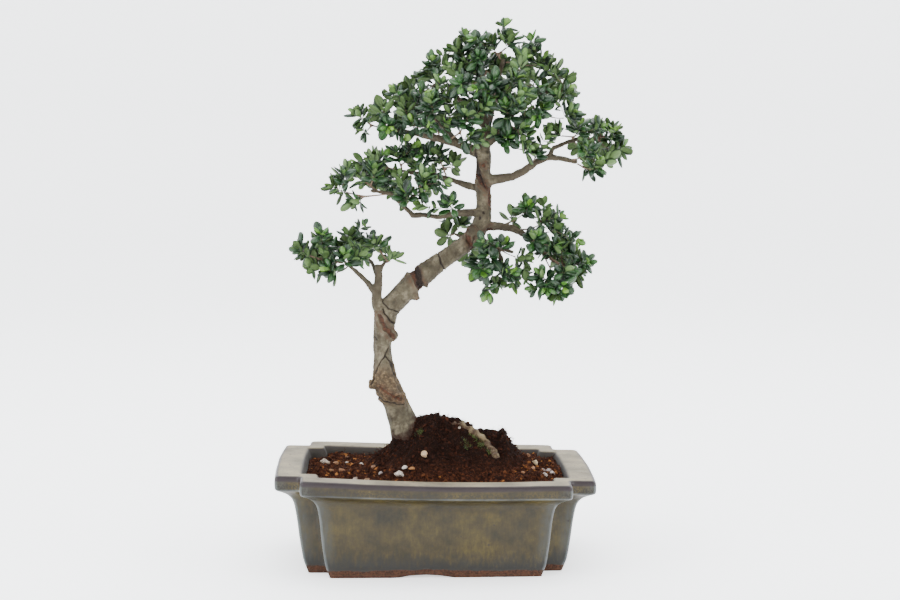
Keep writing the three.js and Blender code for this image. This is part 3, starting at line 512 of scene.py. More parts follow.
def ground_at(x, y):
    """Height of the soil in millimetres, with its crumbs, x and y counted from the pot's middle."""
    away = min(1, abs(y - MOUND_Y) / MOUND_REACH)
    broad = 0.7 * math.sin(x / 5.1 + y / 7.3) + 0.5 * math.sin(x / 3.7 - y / 4.9)
    here = Vector((x, y, 0))
    lumps = sum(high * noise.noise(here / wide) for high, wide in LUMPS)
    beside_root = min(math.dist((x, y), spot) for spot in ROOT_LINE)
    washed = ROOT_WASH * math.exp(-(beside_root / ROOT_WASH_REACH) ** 2)
    washed += HOLLOW_DEPTH * math.exp(
        -((x - HOLLOW_X) / HOLLOW_REACH_X) ** 2 - ((y - HOLLOW_Y) / HOLLOW_REACH_Y) ** 2)
    return SOIL_LEVEL + (crest_at(x) - SOIL_LEVEL) * (1 - away ** 1.25) + broad + lumps - washed


# The mouth that the soil fills: its half length, corner set-back and bow. The points of its
# outline are this far apart, and the rings inside it lie closer the further out they are.
MOUTH_HALF, MOUTH_NOTCH, MOUTH_BOW = 71.2, 9, 1.3
SOIL_SPACING = 1.2
SOIL_RINGS = 62
RING_POWER = 0.8
mouth = rounded_outline(MOUTH_HALF, MOUTH_HALF - HALF_DEPTH_LESS, MOUTH_NOTCH, MOUTH_BOW)
soil_outline = []
for a, b in zip(mouth, mouth[1:] + mouth[:1]):
    steps = max(1, round(math.dist(a[:2], b[:2]) / SOIL_SPACING))
    soil_outline += [Vector(a[:2]).lerp(Vector(b[:2]), s / steps) for s in range(steps)]
hub = Vector((MOUND_X, MOUND_Y))
soil_points = []
for ring in range(1, SOIL_RINGS + 1):
    share = (ring / SOIL_RINGS) ** RING_POWER
    for corner in soil_outline:
        flat_place = hub.lerp(corner, share)
        z = ground_at(*flat_place)
        soil_points.append((POT_X + flat_place.x * MM, flat_place.y * MM, z * MM))
count = len(soil_outline)
soil_faces = ring_faces(SOIL_RINGS, count, flip=True)
soil_points.append((POT_X + hub.x * MM, hub.y * MM, ground_at(*hub) * MM))
soil_faces += [(len(soil_points) - 1, i, (i + 1) % count) for i in range(count)]
outer = (SOIL_RINGS - 1) * count
skirt = len(soil_points)
# The bed narrows to the pot's floor and stays clear of its wall
BED_SHRINK_X = 63.3 / MOUTH_HALF
BED_SHRINK_Y = 0.96 * BED_SHRINK_X
BED_Z = 9.2
soil_points += [
    (POT_X + corner.x * BED_SHRINK_X * MM, corner.y * BED_SHRINK_Y * MM, BED_Z * MM)
    for corner in soil_outline
]
soil_faces += [
    (outer + i, skirt + i, skirt + (i + 1) % count, outer + (i + 1) % count) for i in range(count)
]
soil_faces.append(tuple(range(skirt, skirt + count))[::-1])
soil = add_object("peat", mesh_from("peat", soil_points, soil_faces))
soil_surface = BVHTree.FromPolygons([Vector(p) for p in soil_points], soil_faces)

# Damp peat: dark red-brown crumbs with orange fibre ends, quite matt
peat, tree, shader = new_material("damp peat")
place = add_node(tree, "ShaderNodeTexCoord").outputs["Object"]
# Crumbs of 1.2 mm, patches of 12 mm
crumbs = add_node(tree, "ShaderNodeTexNoise", {
    "Vector": place, "Scale": 820, "Detail": 6, "Roughness": 0.72})
patches = add_node(tree, "ShaderNodeTexNoise", {"Vector": place, "Scale": 80, "Detail": 3})
dark, warm = (
    add_node(tree, "ShaderNodeValToRGB", {"Fac": crumbs}, stops=stops) for stops in (
        [(0.34, "0c0503"), (0.66, "472718"), (0.5, "1f0f09")],
        [(0.34, "130906"), (0.66, "643a22"), (0.5, "2f180e")]))
mixed = add_node(tree, "ShaderNodeMix", {0: patches, 6: dark, 7: warm}, data_type="RGBA")
# Darker on the mound than on the flat beside it, the more the higher it stands
up = add_node(tree, "ShaderNodeSeparateXYZ", {"Vector": place})
mound_darkening = add_node(tree, "ShaderNodeMapRange", {
    "Value": up.outputs[2], "From Min": 0.053, "From Max": 0.064, "To Max": 0.85})
mound_darkened = add_node(tree, "ShaderNodeMix", {0: mound_darkening, 6: mixed, 7: "0d0604"}, data_type="RGBA")
bump = add_node(tree, "ShaderNodeBump", {"Height": crumbs, "Strength": 0.9, "Distance": 0.0015})
wire(tree, shader, {
    "Base Color": mound_darkened, "Roughness": 0.95, "Specular IOR Level": 0.06, "Normal": bump})
soil.data.materials.append(peat)
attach(soil, "root")
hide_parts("soil")


# Shapes on points: a tree that puts a collection's shapes on points, as each point's marks say
POINT_MARKS = {
    "aim": "FLOAT_VECTOR", "face": "FLOAT_VECTOR", "size": "FLOAT", "shape": "INT", "tint": "FLOAT"}
SCATTER = new_tree("shapes on points", {"Shapes": "Collection", "Finish": "Material"})
given = add_node(SCATTER, "NodeGroupInput").outputs
marks = {
    label: add_node(SCATTER, "GeometryNodeInputNamedAttribute", {"Name": label}, data_type=kind)
    for label, kind in POINT_MARKS.items() if label != "tint"
}
turned = add_node(SCATTER, "FunctionNodeAxesToRotation", {0: marks["aim"], 1: marks["face"]},
                  primary_axis="Y", secondary_axis="Z")
listed = add_node(SCATTER, "GeometryNodeCollectionInfo", {
    "Collection": given["Shapes"], "Separate Children": True, "Reset Children": True})
placed = add_node(SCATTER, "GeometryNodeInstanceOnPoints", {
    "Points": given["Geometry"], "Instance": listed, "Pick Instance": True,
    "Instance Index": marks["shape"], "Rotation": turned, "Scale": marks["size"]})
real = add_node(SCATTER, "GeometryNodeRealizeInstances", {"Geometry": placed})
finished = add_node(SCATTER, "GeometryNodeSetMaterial", {"Geometry": real, "Material": given["Finish"]})
add_node(SCATTER, "NodeGroupOutput", {"Geometry": finished})


def scatter(name, points, shapes, finish):
    """A mesh of shapes on points. Each point is its place and then its POINT_MARKS in order."""
    mesh = mesh_from(name, [point[0] for point in points], [])
    for number, (label, kind) in enumerate(POINT_MARKS.items(), 1):
        values = np.array([point[number] for point in points])
        slot = "vector" if kind == "FLOAT_VECTOR" else "value"
        mesh.attributes.new(label, kind, "POINT").data.foreach_set(slot, values.ravel())
    holder = add_object(name, mesh)
    put_tree(holder, SCATTER, {"Shapes": shapes, "Finish": finish})
    made = as_modified(holder)
    bpy.data.objects.remove(holder)
    made.name = name
    return made


def shape_collection(name, meshes):
    """A collection of template shapes for scatter, in order."""
    collection = bpy.data.collections.new(name)
    for number, mesh in enumerate(meshes):
        collection.objects.link(bpy.data.objects.new(f"{name}_{number:02d}", mesh))
    return collection


def pebble_mesh(name, seed, detail, roughness):
    """A rounded stone, one unit across, its surface knocked about by noise."""
    body = bmesh.new()
    bmesh.ops.create_icosphere(body, subdivisions=detail, radius=0.5)
    for v in body.verts:
        lump = noise.noise(v.co * 2.1 + Vector((seed * 7.3, seed * 3.1, 0)))
        v.co *= 1 + roughness * lump
        v.co.z *= 0.75
    mesh = bpy.data.meshes.new(name)
    body.to_mesh(mesh)
    body.free()
    mesh.polygons.foreach_set("use_smooth", [detail > 1] * len(mesh.polygons))
    return mesh


def fibre_mesh(name, seed):
    """A peat fibre: a thin bent three-sided strand, one unit long."""
    draw = random.Random(seed)
    bend = [
        Vector((0.22 * draw.uniform(-1, 1), t - 0.5, 0.16 * draw.uniform(-1, 1)))
        for t in (0, 0.25, 0.5, 0.75, 1)
    ]
    points = []
    for k, middle in enumerate(bend):
        radius = 0.035 * (1 - 0.5 * abs(k - 2) / 2)
        points += [middle + radius * Vector((math.cos(a), 0, math.sin(a))) for a in (0, 2.09, 4.19)]
    return mesh_from(name, points, ring_faces(5, 3, flip=True) + [(0, 1, 2), (14, 13, 12)])


# A height in metres over all the soil
LOOK_DOWN_FROM = 0.2


def on_soil(x, y):
    """The place and slope of the soil's surface over a point, x and y in mm from the pot's middle."""
    start = Vector((POT_X + x * MM, y * MM, LOOK_DOWN_FROM))
    return soil_surface.ray_cast(start, Vector((0, 0, -1)))[:2]


# Half the mouth each way, and where its set-back corners begin
STREWN_X, STREWN_Y = 70, 46
STREWN_CORNER_X, STREWN_CORNER_Y = 61, 36


def strewn(many, draw):
    """Where crumbs fell in the pot: how far out, place, slope, and an aim and face at random."""
    for _ in range(many):
        x, y = STREWN_X, STREWN_Y
        while abs(x) >= STREWN_CORNER_X and abs(y) >= STREWN_CORNER_Y:
            x, y = draw.uniform(-STREWN_X, STREWN_X), draw.uniform(-STREWN_Y, STREWN_Y)
        hit, normal = on_soil(x, y)
        if hit:
            aim = Vector((draw.uniform(-1, 1), draw.uniform(-1, 1), draw.uniform(-0.5, 0.5)))
            tilt = Vector((draw.uniform(-1, 1), draw.uniform(-1, 1), 0))
            yield abs(x), hit, normal, aim.normalized(), (normal + 0.5 * tilt).normalized()


# How many, the height above which the mound's crumbs are darker, and how far out
# in mm the ochre ones begin
CRUMBS = 3600
FIBRES = 2600
DARKER_ABOVE = 57 * MM
OCHRE_FROM = 38
draw = random.Random(11)
grain_shapes = shape_collection("grain", [pebble_mesh(f"grain_{s}", s, 1, 0.7) for s in range(4)])
fibre_shapes = shape_collection("fibre", [fibre_mesh(f"fibre_{s}", s) for s in range(5)])
grains, fibres = [], []
for out, hit, normal, aim, face in strewn(CRUMBS, draw):
    size = (0.7 + 2.3 * draw.random() ** 2.5) * MM
    shape = draw.randrange(4)
    ochre = 0.1 if out > OCHRE_FROM else 0
    tint = min(1, (draw.random() ** 1.6 + ochre) * (0.55 if hit.z > DARKER_ABOVE else 1))
    grains.append((hit, aim, face, size, shape, tint))
for out, hit, normal, aim, face in strewn(FIBRES, draw):
    size = draw.uniform(2, 6.5) * MM
    shape = draw.randrange(5)
    tint = (0.4 if hit.z > DARKER_ABOVE else 0.85) * draw.random()
    fibres.append((hit + normal * 0.3 * MM, aim, face, size, shape, tint))

# Peat crumbs and fibres: the same stuff as the bed, some of it dry and light
crumb, tree, shader = new_material("peat crumbs")
tint = add_node(tree, "ShaderNodeAttribute", attribute_name="tint").outputs["Fac"]
shade = add_node(tree, "ShaderNodeValToRGB", {"Fac": tint}, stops=[
    (0.0, "140a07"), (1.0, "80532c"), (0.5, "2f180e"), (0.85, "4a2b19")])
wire(tree, shader, {"Base Color": shade, "Roughness": 0.95, "Specular IOR Level": 0.06})
for name, points, shapes in (("peat_crumbs", grains, grain_shapes), ("peat_fibres", fibres, fibre_shapes)):
    piece = add_object(name, scatter(name, points, shapes, crumb))
    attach(piece, "root")


# Moss
# Cushions of short upright moss shoots that settled on the damp side of the bared root. Each is
# its place and its reach in mm.
MOSS = [(17, -22, 2.2), (22, -13, 2.6), (26, -17, 3.2), (30, -22, 2.4), (27, -9, 1.8), (-8, -17, 2.0)]
SHOOTS_A_MM = 42
moss_green, tree, shader = new_material("moss")
tint = add_node(tree, "ShaderNodeAttribute", attribute_name="tint").outputs["Fac"]
shade = add_node(tree, "ShaderNodeValToRGB", {"Fac": tint}, stops=[(0.0, "141c0a"), (1.0, "4f5f22")])
wire(tree, shader, {"Base Color": shade, "Roughness": 0.9})
shoots = []
for middle_x, middle_y, reach in MOSS:
    for _ in range(int(SHOOTS_A_MM * reach)):
        x, y = draw.gauss(middle_x, reach * 0.5), draw.gauss(middle_y, reach * 0.5)
        hit, normal = on_soil(x, y)
        aim = (normal + 0.5 * Vector((draw.uniform(-1, 1), draw.uniform(-1, 1), 0.4))).normalized()
        size = draw.uniform(1.2, 2.4) * MM
        root = hit + normal * 0.5 * MM
        shoots.append((root, aim, Vector((1, 0, 0)), size, draw.randrange(5), draw.random()))
moss = add_object("moss", scatter("moss", shoots, fibre_shapes, moss_green))
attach(moss, "root")


# Pebbles
# River grit and baked clay from the potting mix, left lying on top: white, grey and ochre stones
# of 2 to 5 mm, half sunk.
PEBBLES = [
    (-63, 22, 4.4, "ada697"), (-61, 18, 3.8, "9b917f"), (-56, 14, 4.6, "825930"),
    (-50, 16, 2.4, "b6b0a6"), (-52, -12, 3.2, "764c2a"), (-41, 2, 2.2, "b9b4ab"),
    (-44, -34, 3.2, "8c8175"), (-37, -36, 3.6, "73593e"), (-30, -34, 2.6, "858688"),
    (-20, -38, 4.4, "c1bbb0"), (-17, -34, 2.8, "c9c6bf"), (-13, -36, 2.6, "986327"),
    (-6, -31, 3.9, "b59e7b"), (14, -12, 1.8, "c2bdb2"), (-34, -20, 2.8, "68472b"), (-58, -2, 2.6, "875e33"),
    (58, 4, 3.2, "b8a783"), (62, -2, 3.4, "767170"), (64, -12, 3.8, "888483"), (66, -16, 3, "aaa6a2"),
    (61, -27, 3.2, "b2aea8"), (55, -18, 2.4, "835d3d"), (48, -30, 2.2, "744b28"), (-66, -20, 2.6, "78502f"),
    (-30, 30, 3, "a8a193"), (10, 36, 3.4, "7c7875"), (36, 34, 2.8, "b7b2a7"), (56, 30, 3.2, "734b2a"),
    (-8, 40, 2.6, "beb9b0"), (-50, 34, 2.6, "83786b"),
]
stone, tree, shader = new_material("river grit")
place = add_node(tree, "ShaderNodeTexCoord").outputs["Object"]
colour = add_node(tree, "ShaderNodeAttribute", attribute_name="stone_colour").outputs["Color"]
# Grit finer than a millimetre, and dirt in its hollows
grit = add_node(tree, "ShaderNodeTexNoise", {"Vector": place, "Scale": 1500, "Detail": 4, "Roughness": 0.7})
dirt = add_node(tree, "ShaderNodeMapRange", {
    "Value": grit, "From Min": 0.66, "From Max": 0.42, "To Max": 0.8})
soiled = add_node(tree, "ShaderNodeMix", {0: dirt, 6: colour, 7: "5a3d28"}, data_type="RGBA")
bump = add_node(tree, "ShaderNodeBump", {"Height": grit, "Strength": 0.5, "Distance": 0.0004})
wire(tree, shader, {"Base Color": soiled, "Roughness": 0.8, "Normal": bump})
stones = bmesh.new()
stone_colours = []
for number, (x, y, size, colour) in enumerate(PEBBLES):
    hit, normal = on_soil(x, y)
    shape = pebble_mesh(f"pebble_{number}", number + 0.5, 3, 0.55)
    turn = Euler((0.4 * math.sin(number), 0.3 * math.cos(3 * number), 1.7 * number)).to_matrix().to_4x4()
    stretch = Matrix.Diagonal((1.15, 0.9, 1, 1))
    lie = Matrix.Translation(hit + Vector((0, 0, 0.12 * size * MM)))
    shape.transform(lie @ turn @ stretch @ Matrix.Scale(size * MM, 4))
    stones.from_mesh(shape)
    stone_colours += [linear(colour)] * len(shape.vertices)
pebble_all = bpy.data.meshes.new("pebbles")
stones.to_mesh(pebble_all)
stones.free()
layer = pebble_all.color_attributes.new("stone_colour", "FLOAT_COLOR", "POINT")
layer.data.foreach_set("color", [c for colour in stone_colours for c in colour])
pebbles = add_object("pebbles", pebble_all)
finish_mesh(pebble_all, stone)
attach(pebbles, "root")


# Trunk and limbs
# One living piece of wood: smooth grey-tan bark, flaking low down, with healed saw cuts and
# dark cracks at its bends. The form is the modelled one, worked over finely.
BARK_GRAIN = 0.5 * MM
# Middle of the trunk and its radius, in mm from the middle of the pot
TRUNK_LINE = [
    (-13, 2, 62, 11), (-15, 2, 72, 9.5), (-20, 2, 84, 7.6), (-23, 1, 92, 7), (-27, 0, 100, 7.4),
    (-28, 0, 108, 5.8), (-29, 0, 118, 5.3), (-29, -1, 127, 5.2), (-28, -1, 135, 6), (-26, -1, 143, 6.6),
    (-20, 0, 149, 6.3), (-11, 1, 158, 6.4), (1, 3, 167, 5.4), (10, 4, 173, 4.9), (18, 4, 179, 5.4),
    (24, 4, 185, 5.4), (27, 3, 191, 4.9), (28, 2, 199, 4.2), (28, 2, 207, 4.2), (28, 2, 215, 4.7),
    (28, 1, 223, 4.1), (28, 0, 231, 4.4),
]
# Marks of age: each is a line over the bark in (x, z), its half width and its depth in mm.
# Cracks are near black, scars red-brown with a raised lip, and "round" ones go right round.
MARKS = [
    ("crack", "front", 0.32, 0.6, [(-35, 100), (-31.5, 110), (-27.5, 117), (-24.5, 112), (-21.5, 104)]),
    ("crack", "front", 0.4, 0.5, [(-27.5, 117), (-26.2, 121)]),
    ("crack", "round", 0.28, 0.5, [(-33, 93.5), (-26, 90.5), (-17, 89)]),
    ("scar", "front", 1.0, 0.7, [(-30, 99), (-25, 95), (-19, 92)]),
    ("scar", "front", 1.5, 0.9, [(-30.5, 139), (-28, 133.5), (-24.5, 129), (-22, 127)]),
    ("crack", "front", 0.4, 0.8, [(-29, 143), (-25, 137), (-21.5, 133.5), (-21, 128)]),
    ("crack", "round", 0.3, 0.6, [(-29, 147.5), (-25, 143.5), (-20, 141)]),
    ("scar", "round", 2.1, 1.1, [(-13, 166), (-9.5, 159), (-6, 150)]),
    ("crack", "front", 1.9, 1.4, [(-10.5, 168), (-8.5, 162), (-7.5, 156), (-6, 150)]),
    ("crack", "round", 0.35, 0.6, [(2.2, 174), (4.2, 168), (6.6, 163)]),
    ("scar", "front", 1.5, 0.9, [(18, 189), (19.5, 182), (22, 176), (24, 172)]),
    ("scar", "front", 1.7, 0.8, [(20.5, 187), (24, 182), (28.5, 183), (32, 187)]),
    ("crack", "front", 0.5, 0.8, [(22.5, 185), (22, 180), (25, 177)]),
    ("crack", "front", 1.0, 0.7, [(23, 232), (24, 225), (25, 218)]),
    ("scar", "front", 1.5, 1.0, [(24.3, 217.5), (27.5, 213), (31.5, 208.5)]),
    ("crack", "front", 0.6, 0.8, [(25.5, 217.5), (29, 211)]),
    ("scar", "front", 1.1, 0.5, [(30.5, 207), (32, 201)]),
    ("scar", "front", 0.9, 0.5, [(27.8, 223.5), (28.4, 222.5)]),
    ("crack", "front", 0.7, 0.6, [(28, 197), (28.2, 196.4)]),
    ("crack", "front", 0.6, 0.5, [(25.8, 194.2), (26, 193.6)]),
    ("crack", "front", 0.7, 0.5, [(30.3, 187.6), (30.5, 187)]),
    ("crack", "front", 0.5, 0.4, [(-33, 127), (-32.2, 126.4)]),
    ("scar", "back", 1.8, 0.9, [(-31, 121), (-27, 114), (-24, 110)]),
    ("crack", "back", 0.7, 0.9, [(-14, 164), (-9, 157), (-5, 154)]),
    ("scar", "back", 1.6, 0.8, [(9, 178), (13, 171)]),
    ("scar", "back", 1.4, 0.8, [(26, 212), (30, 204)]),
]

trunk_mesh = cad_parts["trunk"].data.copy()
welded = bmesh.new()
welded.from_mesh(trunk_mesh)
bmesh.ops.remove_doubles(welded, verts=welded.verts, dist=1e-6)
welded.to_mesh(trunk_mesh)
welded.free()
trunk = add_object("holly_wood", trunk_mesh)
swell = trunk.modifiers.new("even skin", "REMESH")
swell.mode = "VOXEL"
swell.voxel_size = BARK_GRAIN
soften = trunk.modifiers.new("soften", "SMOOTH")
soften.factor = 0.5
soften.iterations = 6
rounded = as_modified(trunk)
trunk.modifiers.clear()
trunk.data = rounded
count = len(rounded.vertices)
flat = np.empty(count * 3)
rounded.vertices.foreach_get("co", flat)
skin = flat.reshape(-1, 3) / MM - np.array([POT_X / MM, 0, 0])
flat_normals = np.empty(count * 3)
rounded.vertex_normals.foreach_get("vector", flat_normals)
outward = flat_normals.reshape(-1, 3)


def steps_to(points, a, b):
    """How far each point is from the line from a to b, and how far along that line."""
    a, b = np.array(a, float), np.array(b, float)
    along = np.clip((points - a) @ (b - a) / max(1e-9, (b - a) @ (b - a)), 0, 1)
    return np.linalg.norm(points - (a + along[:, None] * (b - a)), axis=1), along


def fade(value, low, high):
    """0 below low, 1 above high and an even curve between."""
    t = np.clip((value - low) / (high - low), 0, 1)
    return t * t * (3 - 2 * t)


# How far up the trunk each point is, and whether it is on the trunk or out on a limb
trunk_gap = np.full(count, 1e9)
trunk_along = np.zeros(count)
walked = 0
for lower, upper in zip(TRUNK_LINE, TRUNK_LINE[1:]):
    length = math.dist(lower[:3], upper[:3])
    gap, along = steps_to(skin, lower[:3], upper[:3])
    gap = gap - (lower[3] + along * (upper[3] - lower[3]))
    nearer = gap < trunk_gap
    trunk_gap = np.where(nearer, gap, trunk_gap)
    trunk_along = np.where(nearer, walked + along * length, trunk_along)
    walked += length
on_limb = fade(trunk_gap, 1.5, 5)

# Bark relief from noise: broad swells of 9 mm, wrinkles of 2 mm drawn out along the trunk, rings
# a millimetre apart round it, knobs of 2 mm on the limbs, grain of a millimetre and finer, and a
# wander of 3 mm that frays the edges of the marks
swells, wrinkles, rings, knobs, grain, wander_x, wander_z = (np.empty(count) for _ in range(7))
for i, (x, y, z) in enumerate(skin):
    here = Vector((x, y, z))
    swells[i] = noise.noise(here / 9)
    wrinkles[i] = noise.noise(Vector((x / 2.1, y / 2.1, trunk_along[i] / 6.5 + z / 30)))
    rings[i] = noise.noise(Vector((x / 8, y / 8, trunk_along[i] / 1.2)))
    knobs[i] = noise.noise(here / 2.2 + Vector((0, 0, 5)))
    grain[i] = noise.noise(here / 1.1) + 0.6 * noise.noise(here / 0.6)
    wander_x[i] = noise.noise(here / 3.1 + Vector((9, 0, 0)))
    wander_z[i] = noise.noise(here / 3.1 + Vector((0, 7, 0)))
flaky = fade(skin[:, 2], 86, 92) * (1 - fade(skin[:, 2], 105, 116 + 5 * swells)) * (1 - on_limb)
relief = 0.34 * swells + (0.3 * wrinkles - 0.26 * np.abs(rings)) * (1 - on_limb) + 0.12 * grain
relief += 0.3 * on_limb * knobs
relief += flaky * (0.75 * np.abs(wander_x) + 0.5 * wander_z + 0.16 * grain)
near_root = fade(skin[:, 0], 6, 12) * (1 - fade(skin[:, 2], 80, 86))
relief += near_root * (0.9 * swells + 0.9 * wander_x + 0.7 * wander_z + 0.4 * knobs)
cracked, scarred = np.zeros(count), np.zeros(count)
seen = np.column_stack([skin[:, 0] + 0.9 * wander_x, skin[:, 2] + 0.9 * wander_z])
facing = {"front": fade(-outward[:, 1], -0.1, 0.25), "back": fade(outward[:, 1], -0.1, 0.25), "round": 1.0}
for kind, side, half, depth, line in MARKS:
    gap = np.full(count, 1e9)
    for a, b in zip(line, line[1:]):
        gap = np.minimum(gap, steps_to(seen, a, b)[0])
    worn = 1 + 0.5 * wrinkles
    there = facing[side] * (1 - fade(trunk_gap, 1.8, 3.2))
    groove = (1 - fade(gap, half * 0.5, half * worn + 0.3)) * there
    lip = np.exp(-((gap - 1.5 * half - 0.35) / (0.45 * half + 0.3)) ** 2) * there
    relief += 0.45 * depth * lip - depth * groove
    if kind == "crack":
        cracked = np.maximum(cracked, groove)
    else:
        scarred = np.maximum(scarred, np.maximum(groove, 0.55 * lip))
moved = skin + outward * (relief + 0.12)[:, None]
moved[:, 0] += POT_X / MM
rounded.vertices.foreach_set("co", (moved * MM).ravel())
rounded.update()
above_ground = skin[:, 2] - np.array([ground_at(x, y) for x, y, z in skin])
bark_numbers = {
    "crack": cracked, "scar": scarred, "flaky": flaky, "limb": on_limb * (1 - near_root),
    "bared": near_root,
    # Painted shade: how deep each point lies in the bark's relief, to darken the hollows
    "hollow_shade": np.clip(0.5 - 1.1 * (relief - 0.3 * swells), 0, 1),
    "earthy": (1 - fade(above_ground + 5 * wander_x, 0.5, 9)) * (1 - 0.1 * near_root),
}
for label, values in bark_numbers.items():
    give_numbers(rounded, label, values)

# Bark of a small-leaved evergreen: pale corky skin with grey-green algae, matt, red-brown where
# it healed and nearly black in the cracks, and darkened in the hollows of its relief by painted shade
bark, tree, shader = new_material("holly bark")
place = add_node(tree, "ShaderNodeTexCoord").outputs["Object"]
crack, scar, flake, limb, bared, hollow_shade, earthy = (
    add_node(tree, "ShaderNodeAttribute", attribute_name=label).outputs["Fac"] for label in bark_numbers)
# Patches of 7 mm, blotches of 2 mm, specks of half a millimetre
patches, blotches, specks = (
    add_node(tree, "ShaderNodeTexNoise", {
        "Vector": place, "Scale": scale, "Detail": detail, "Roughness": rough})
    for scale, detail, rough in ((140, 4, 0.6), (480, 9, 0.78), (1900, 3, 0.5)))
skin_colour, flake_colour, scar_colour = (
    add_node(tree, "ShaderNodeValToRGB", {"Fac": pattern}, stops=stops) for pattern, stops in (
        (patches, [(0.3, "322d21"), (0.72, "79705c"), (0.5, "514a3a")]),
        (blotches, [(0.36, "241911"), (0.66, "7d694c"), (0.5, "4b3b28")]),
        (blotches, [(0.38, "1f120c"), (0.64, "5f3823"), (0.5, "3b2317")])))
limb_share, flake_share, scar_share, bared_share, crack_run, earth_run = (
    add_node(tree, "ShaderNodeMath", {0: mark, 1: share}, operation="MULTIPLY") for mark, share in (
        (limb, 0.75), (flake, 0.85), (scar, 0.9), (bared, 0.4), (crack, blotches), (earthy, blotches)))
blotch, shade, crack_share, speck, earth = (
    add_node(tree, "ShaderNodeMapRange", {
        "Value": read, "From Min": start, "From Max": full, "To Max": most})
    for read, start, full, most in (
        (blotches, 0.5, 0.64, 0.7), (hollow_shade, 0.5, 0.88, 0.8), (crack_run, 0.12, 0.5, 0.95),
        (specks, 0.6, 0.7, 0.55), (earth_run, 0.2, 0.5, 0.95)))
colour = skin_colour
for share, over in (
    # shade is painted shade in the hollows of the relief
    (blotch, "3a3223"), (limb_share, "3b3326"), (flake_share, flake_colour), (shade, "2e261b"),
    (scar_share, scar_colour), (crack_share, "1d1511"), (speck, "4a3d2e"),
    (bared_share, "8c7853"),      # the bared root is paler and yellower than the trunk
    (earth, "2c170e"),            # peat clings to the foot
):
    colour = add_node(tree, "ShaderNodeMix", {0: share, 6: colour, 7: over}, data_type="RGBA")
bump = add_node(tree, "ShaderNodeBump", {"Height": blotches, "Strength": 0.9, "Distance": 0.0014})
fine = add_node(tree, "ShaderNodeBump", {
    "Height": specks, "Strength": 0.7, "Distance": 0.0005, "Normal": bump})
wire(tree, shader, {
    "Base Color": colour, "Roughness": 0.85, "Specular IOR Level": 0.3, "Normal": fine})
finish_mesh(rounded, bark)
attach(trunk, "root")
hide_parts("trunk")


# Leaf sprays
# Twigs of this year and last with small evergreen leaves set close in turns of three: leathery,
# domed, glossy dark green above and paler below, the youngest at the tips bright green.

# Along the leaf from its stalk: place, half width and lift, all as shares of its length
LEAF_ROWS = [
    (0.0, 0.024, 0.0), (0.12, 0.03, 0.01), (0.24, 0.155, 0.035), (0.42, 0.262, 0.068), (0.6, 0.3, 0.065),
    (0.78, 0.262, 0.035), (0.93, 0.158, -0.01), (1.0, 0.045, -0.035),
]
LEAF_THICKNESS = 0.04


def leaf_mesh(name, width, dome, droop, twist):
    """A leaf one unit long, from its stalk along Y, face up along Z, sunk along its midrib."""
    points, uvs, upper = [], [], []
    for side in (1, -1):
        for along, half, lift in LEAF_ROWS:
            for across in (-1, -0.55, 0, 0.55, 1):
                if side < 0 and abs(across) == 1:
                    continue
                x = across * half * width
                curl = 0.55 * dome * half * across ** 2 if along > 0.12 else 0
                z = lift * dome - droop * along ** 2 - curl - twist * x * along
                z += 0.018 if across else 0
                z += side * LEAF_THICKNESS / 2 * (1 - across ** 2)
                points.append((x, along, z))
                uvs.append((0.5 + 0.5 * across, along))
                upper.append(0.5 if abs(across) == 1 else (1 if side > 0 else 0))
    rows = len(LEAF_ROWS)

    def top(r, c):
        return r * 5 + c

    def low(r, c):
        return top(r, c) if c in (0, 4) else rows * 5 + r * 3 + c - 1

    faces = []
    for r in range(rows - 1):
        for c in range(4):
            faces.append((top(r, c), top(r, c + 1), top(r + 1, c + 1), top(r + 1, c)))
            faces.append((low(r, c), low(r + 1, c), low(r + 1, c + 1), low(r, c + 1)))
    for c in (0, 2):
        faces.append((low(0, c), low(0, c + 1), low(0, c + 2), top(0, c + 1)))
        faces.append((top(rows - 1, c + 1), low(rows - 1, c + 2), low(rows - 1, c + 1), low(rows - 1, c)))
    mesh = mesh_from(name, points, faces)
    give_numbers(mesh, "upper", upper)
    layer = mesh.uv_layers.new(name="blade")
    for loop in mesh.loops:
        layer.data[loop.index].uv = uvs[loop.vertex_index]
    return mesh


leaf_shapes = shape_collection("leaf", [
    leaf_mesh("leaf_flat", 1.0, 0.9, 0.02, 0.0), leaf_mesh("leaf_domed", 0.95, 1.5, 0.08, 0.2),
    leaf_mesh("leaf_wide", 1.1, 1.2, 0.05, -0.2), leaf_mesh("leaf_slim", 0.82, 1.2, 0.12, 0.1),
    leaf_mesh("leaf_cupped", 0.98, -0.7, -0.04, 0.25),
])
MODELLED_THICKNESS = 1 * MM
LEAF_REACH = 0.93


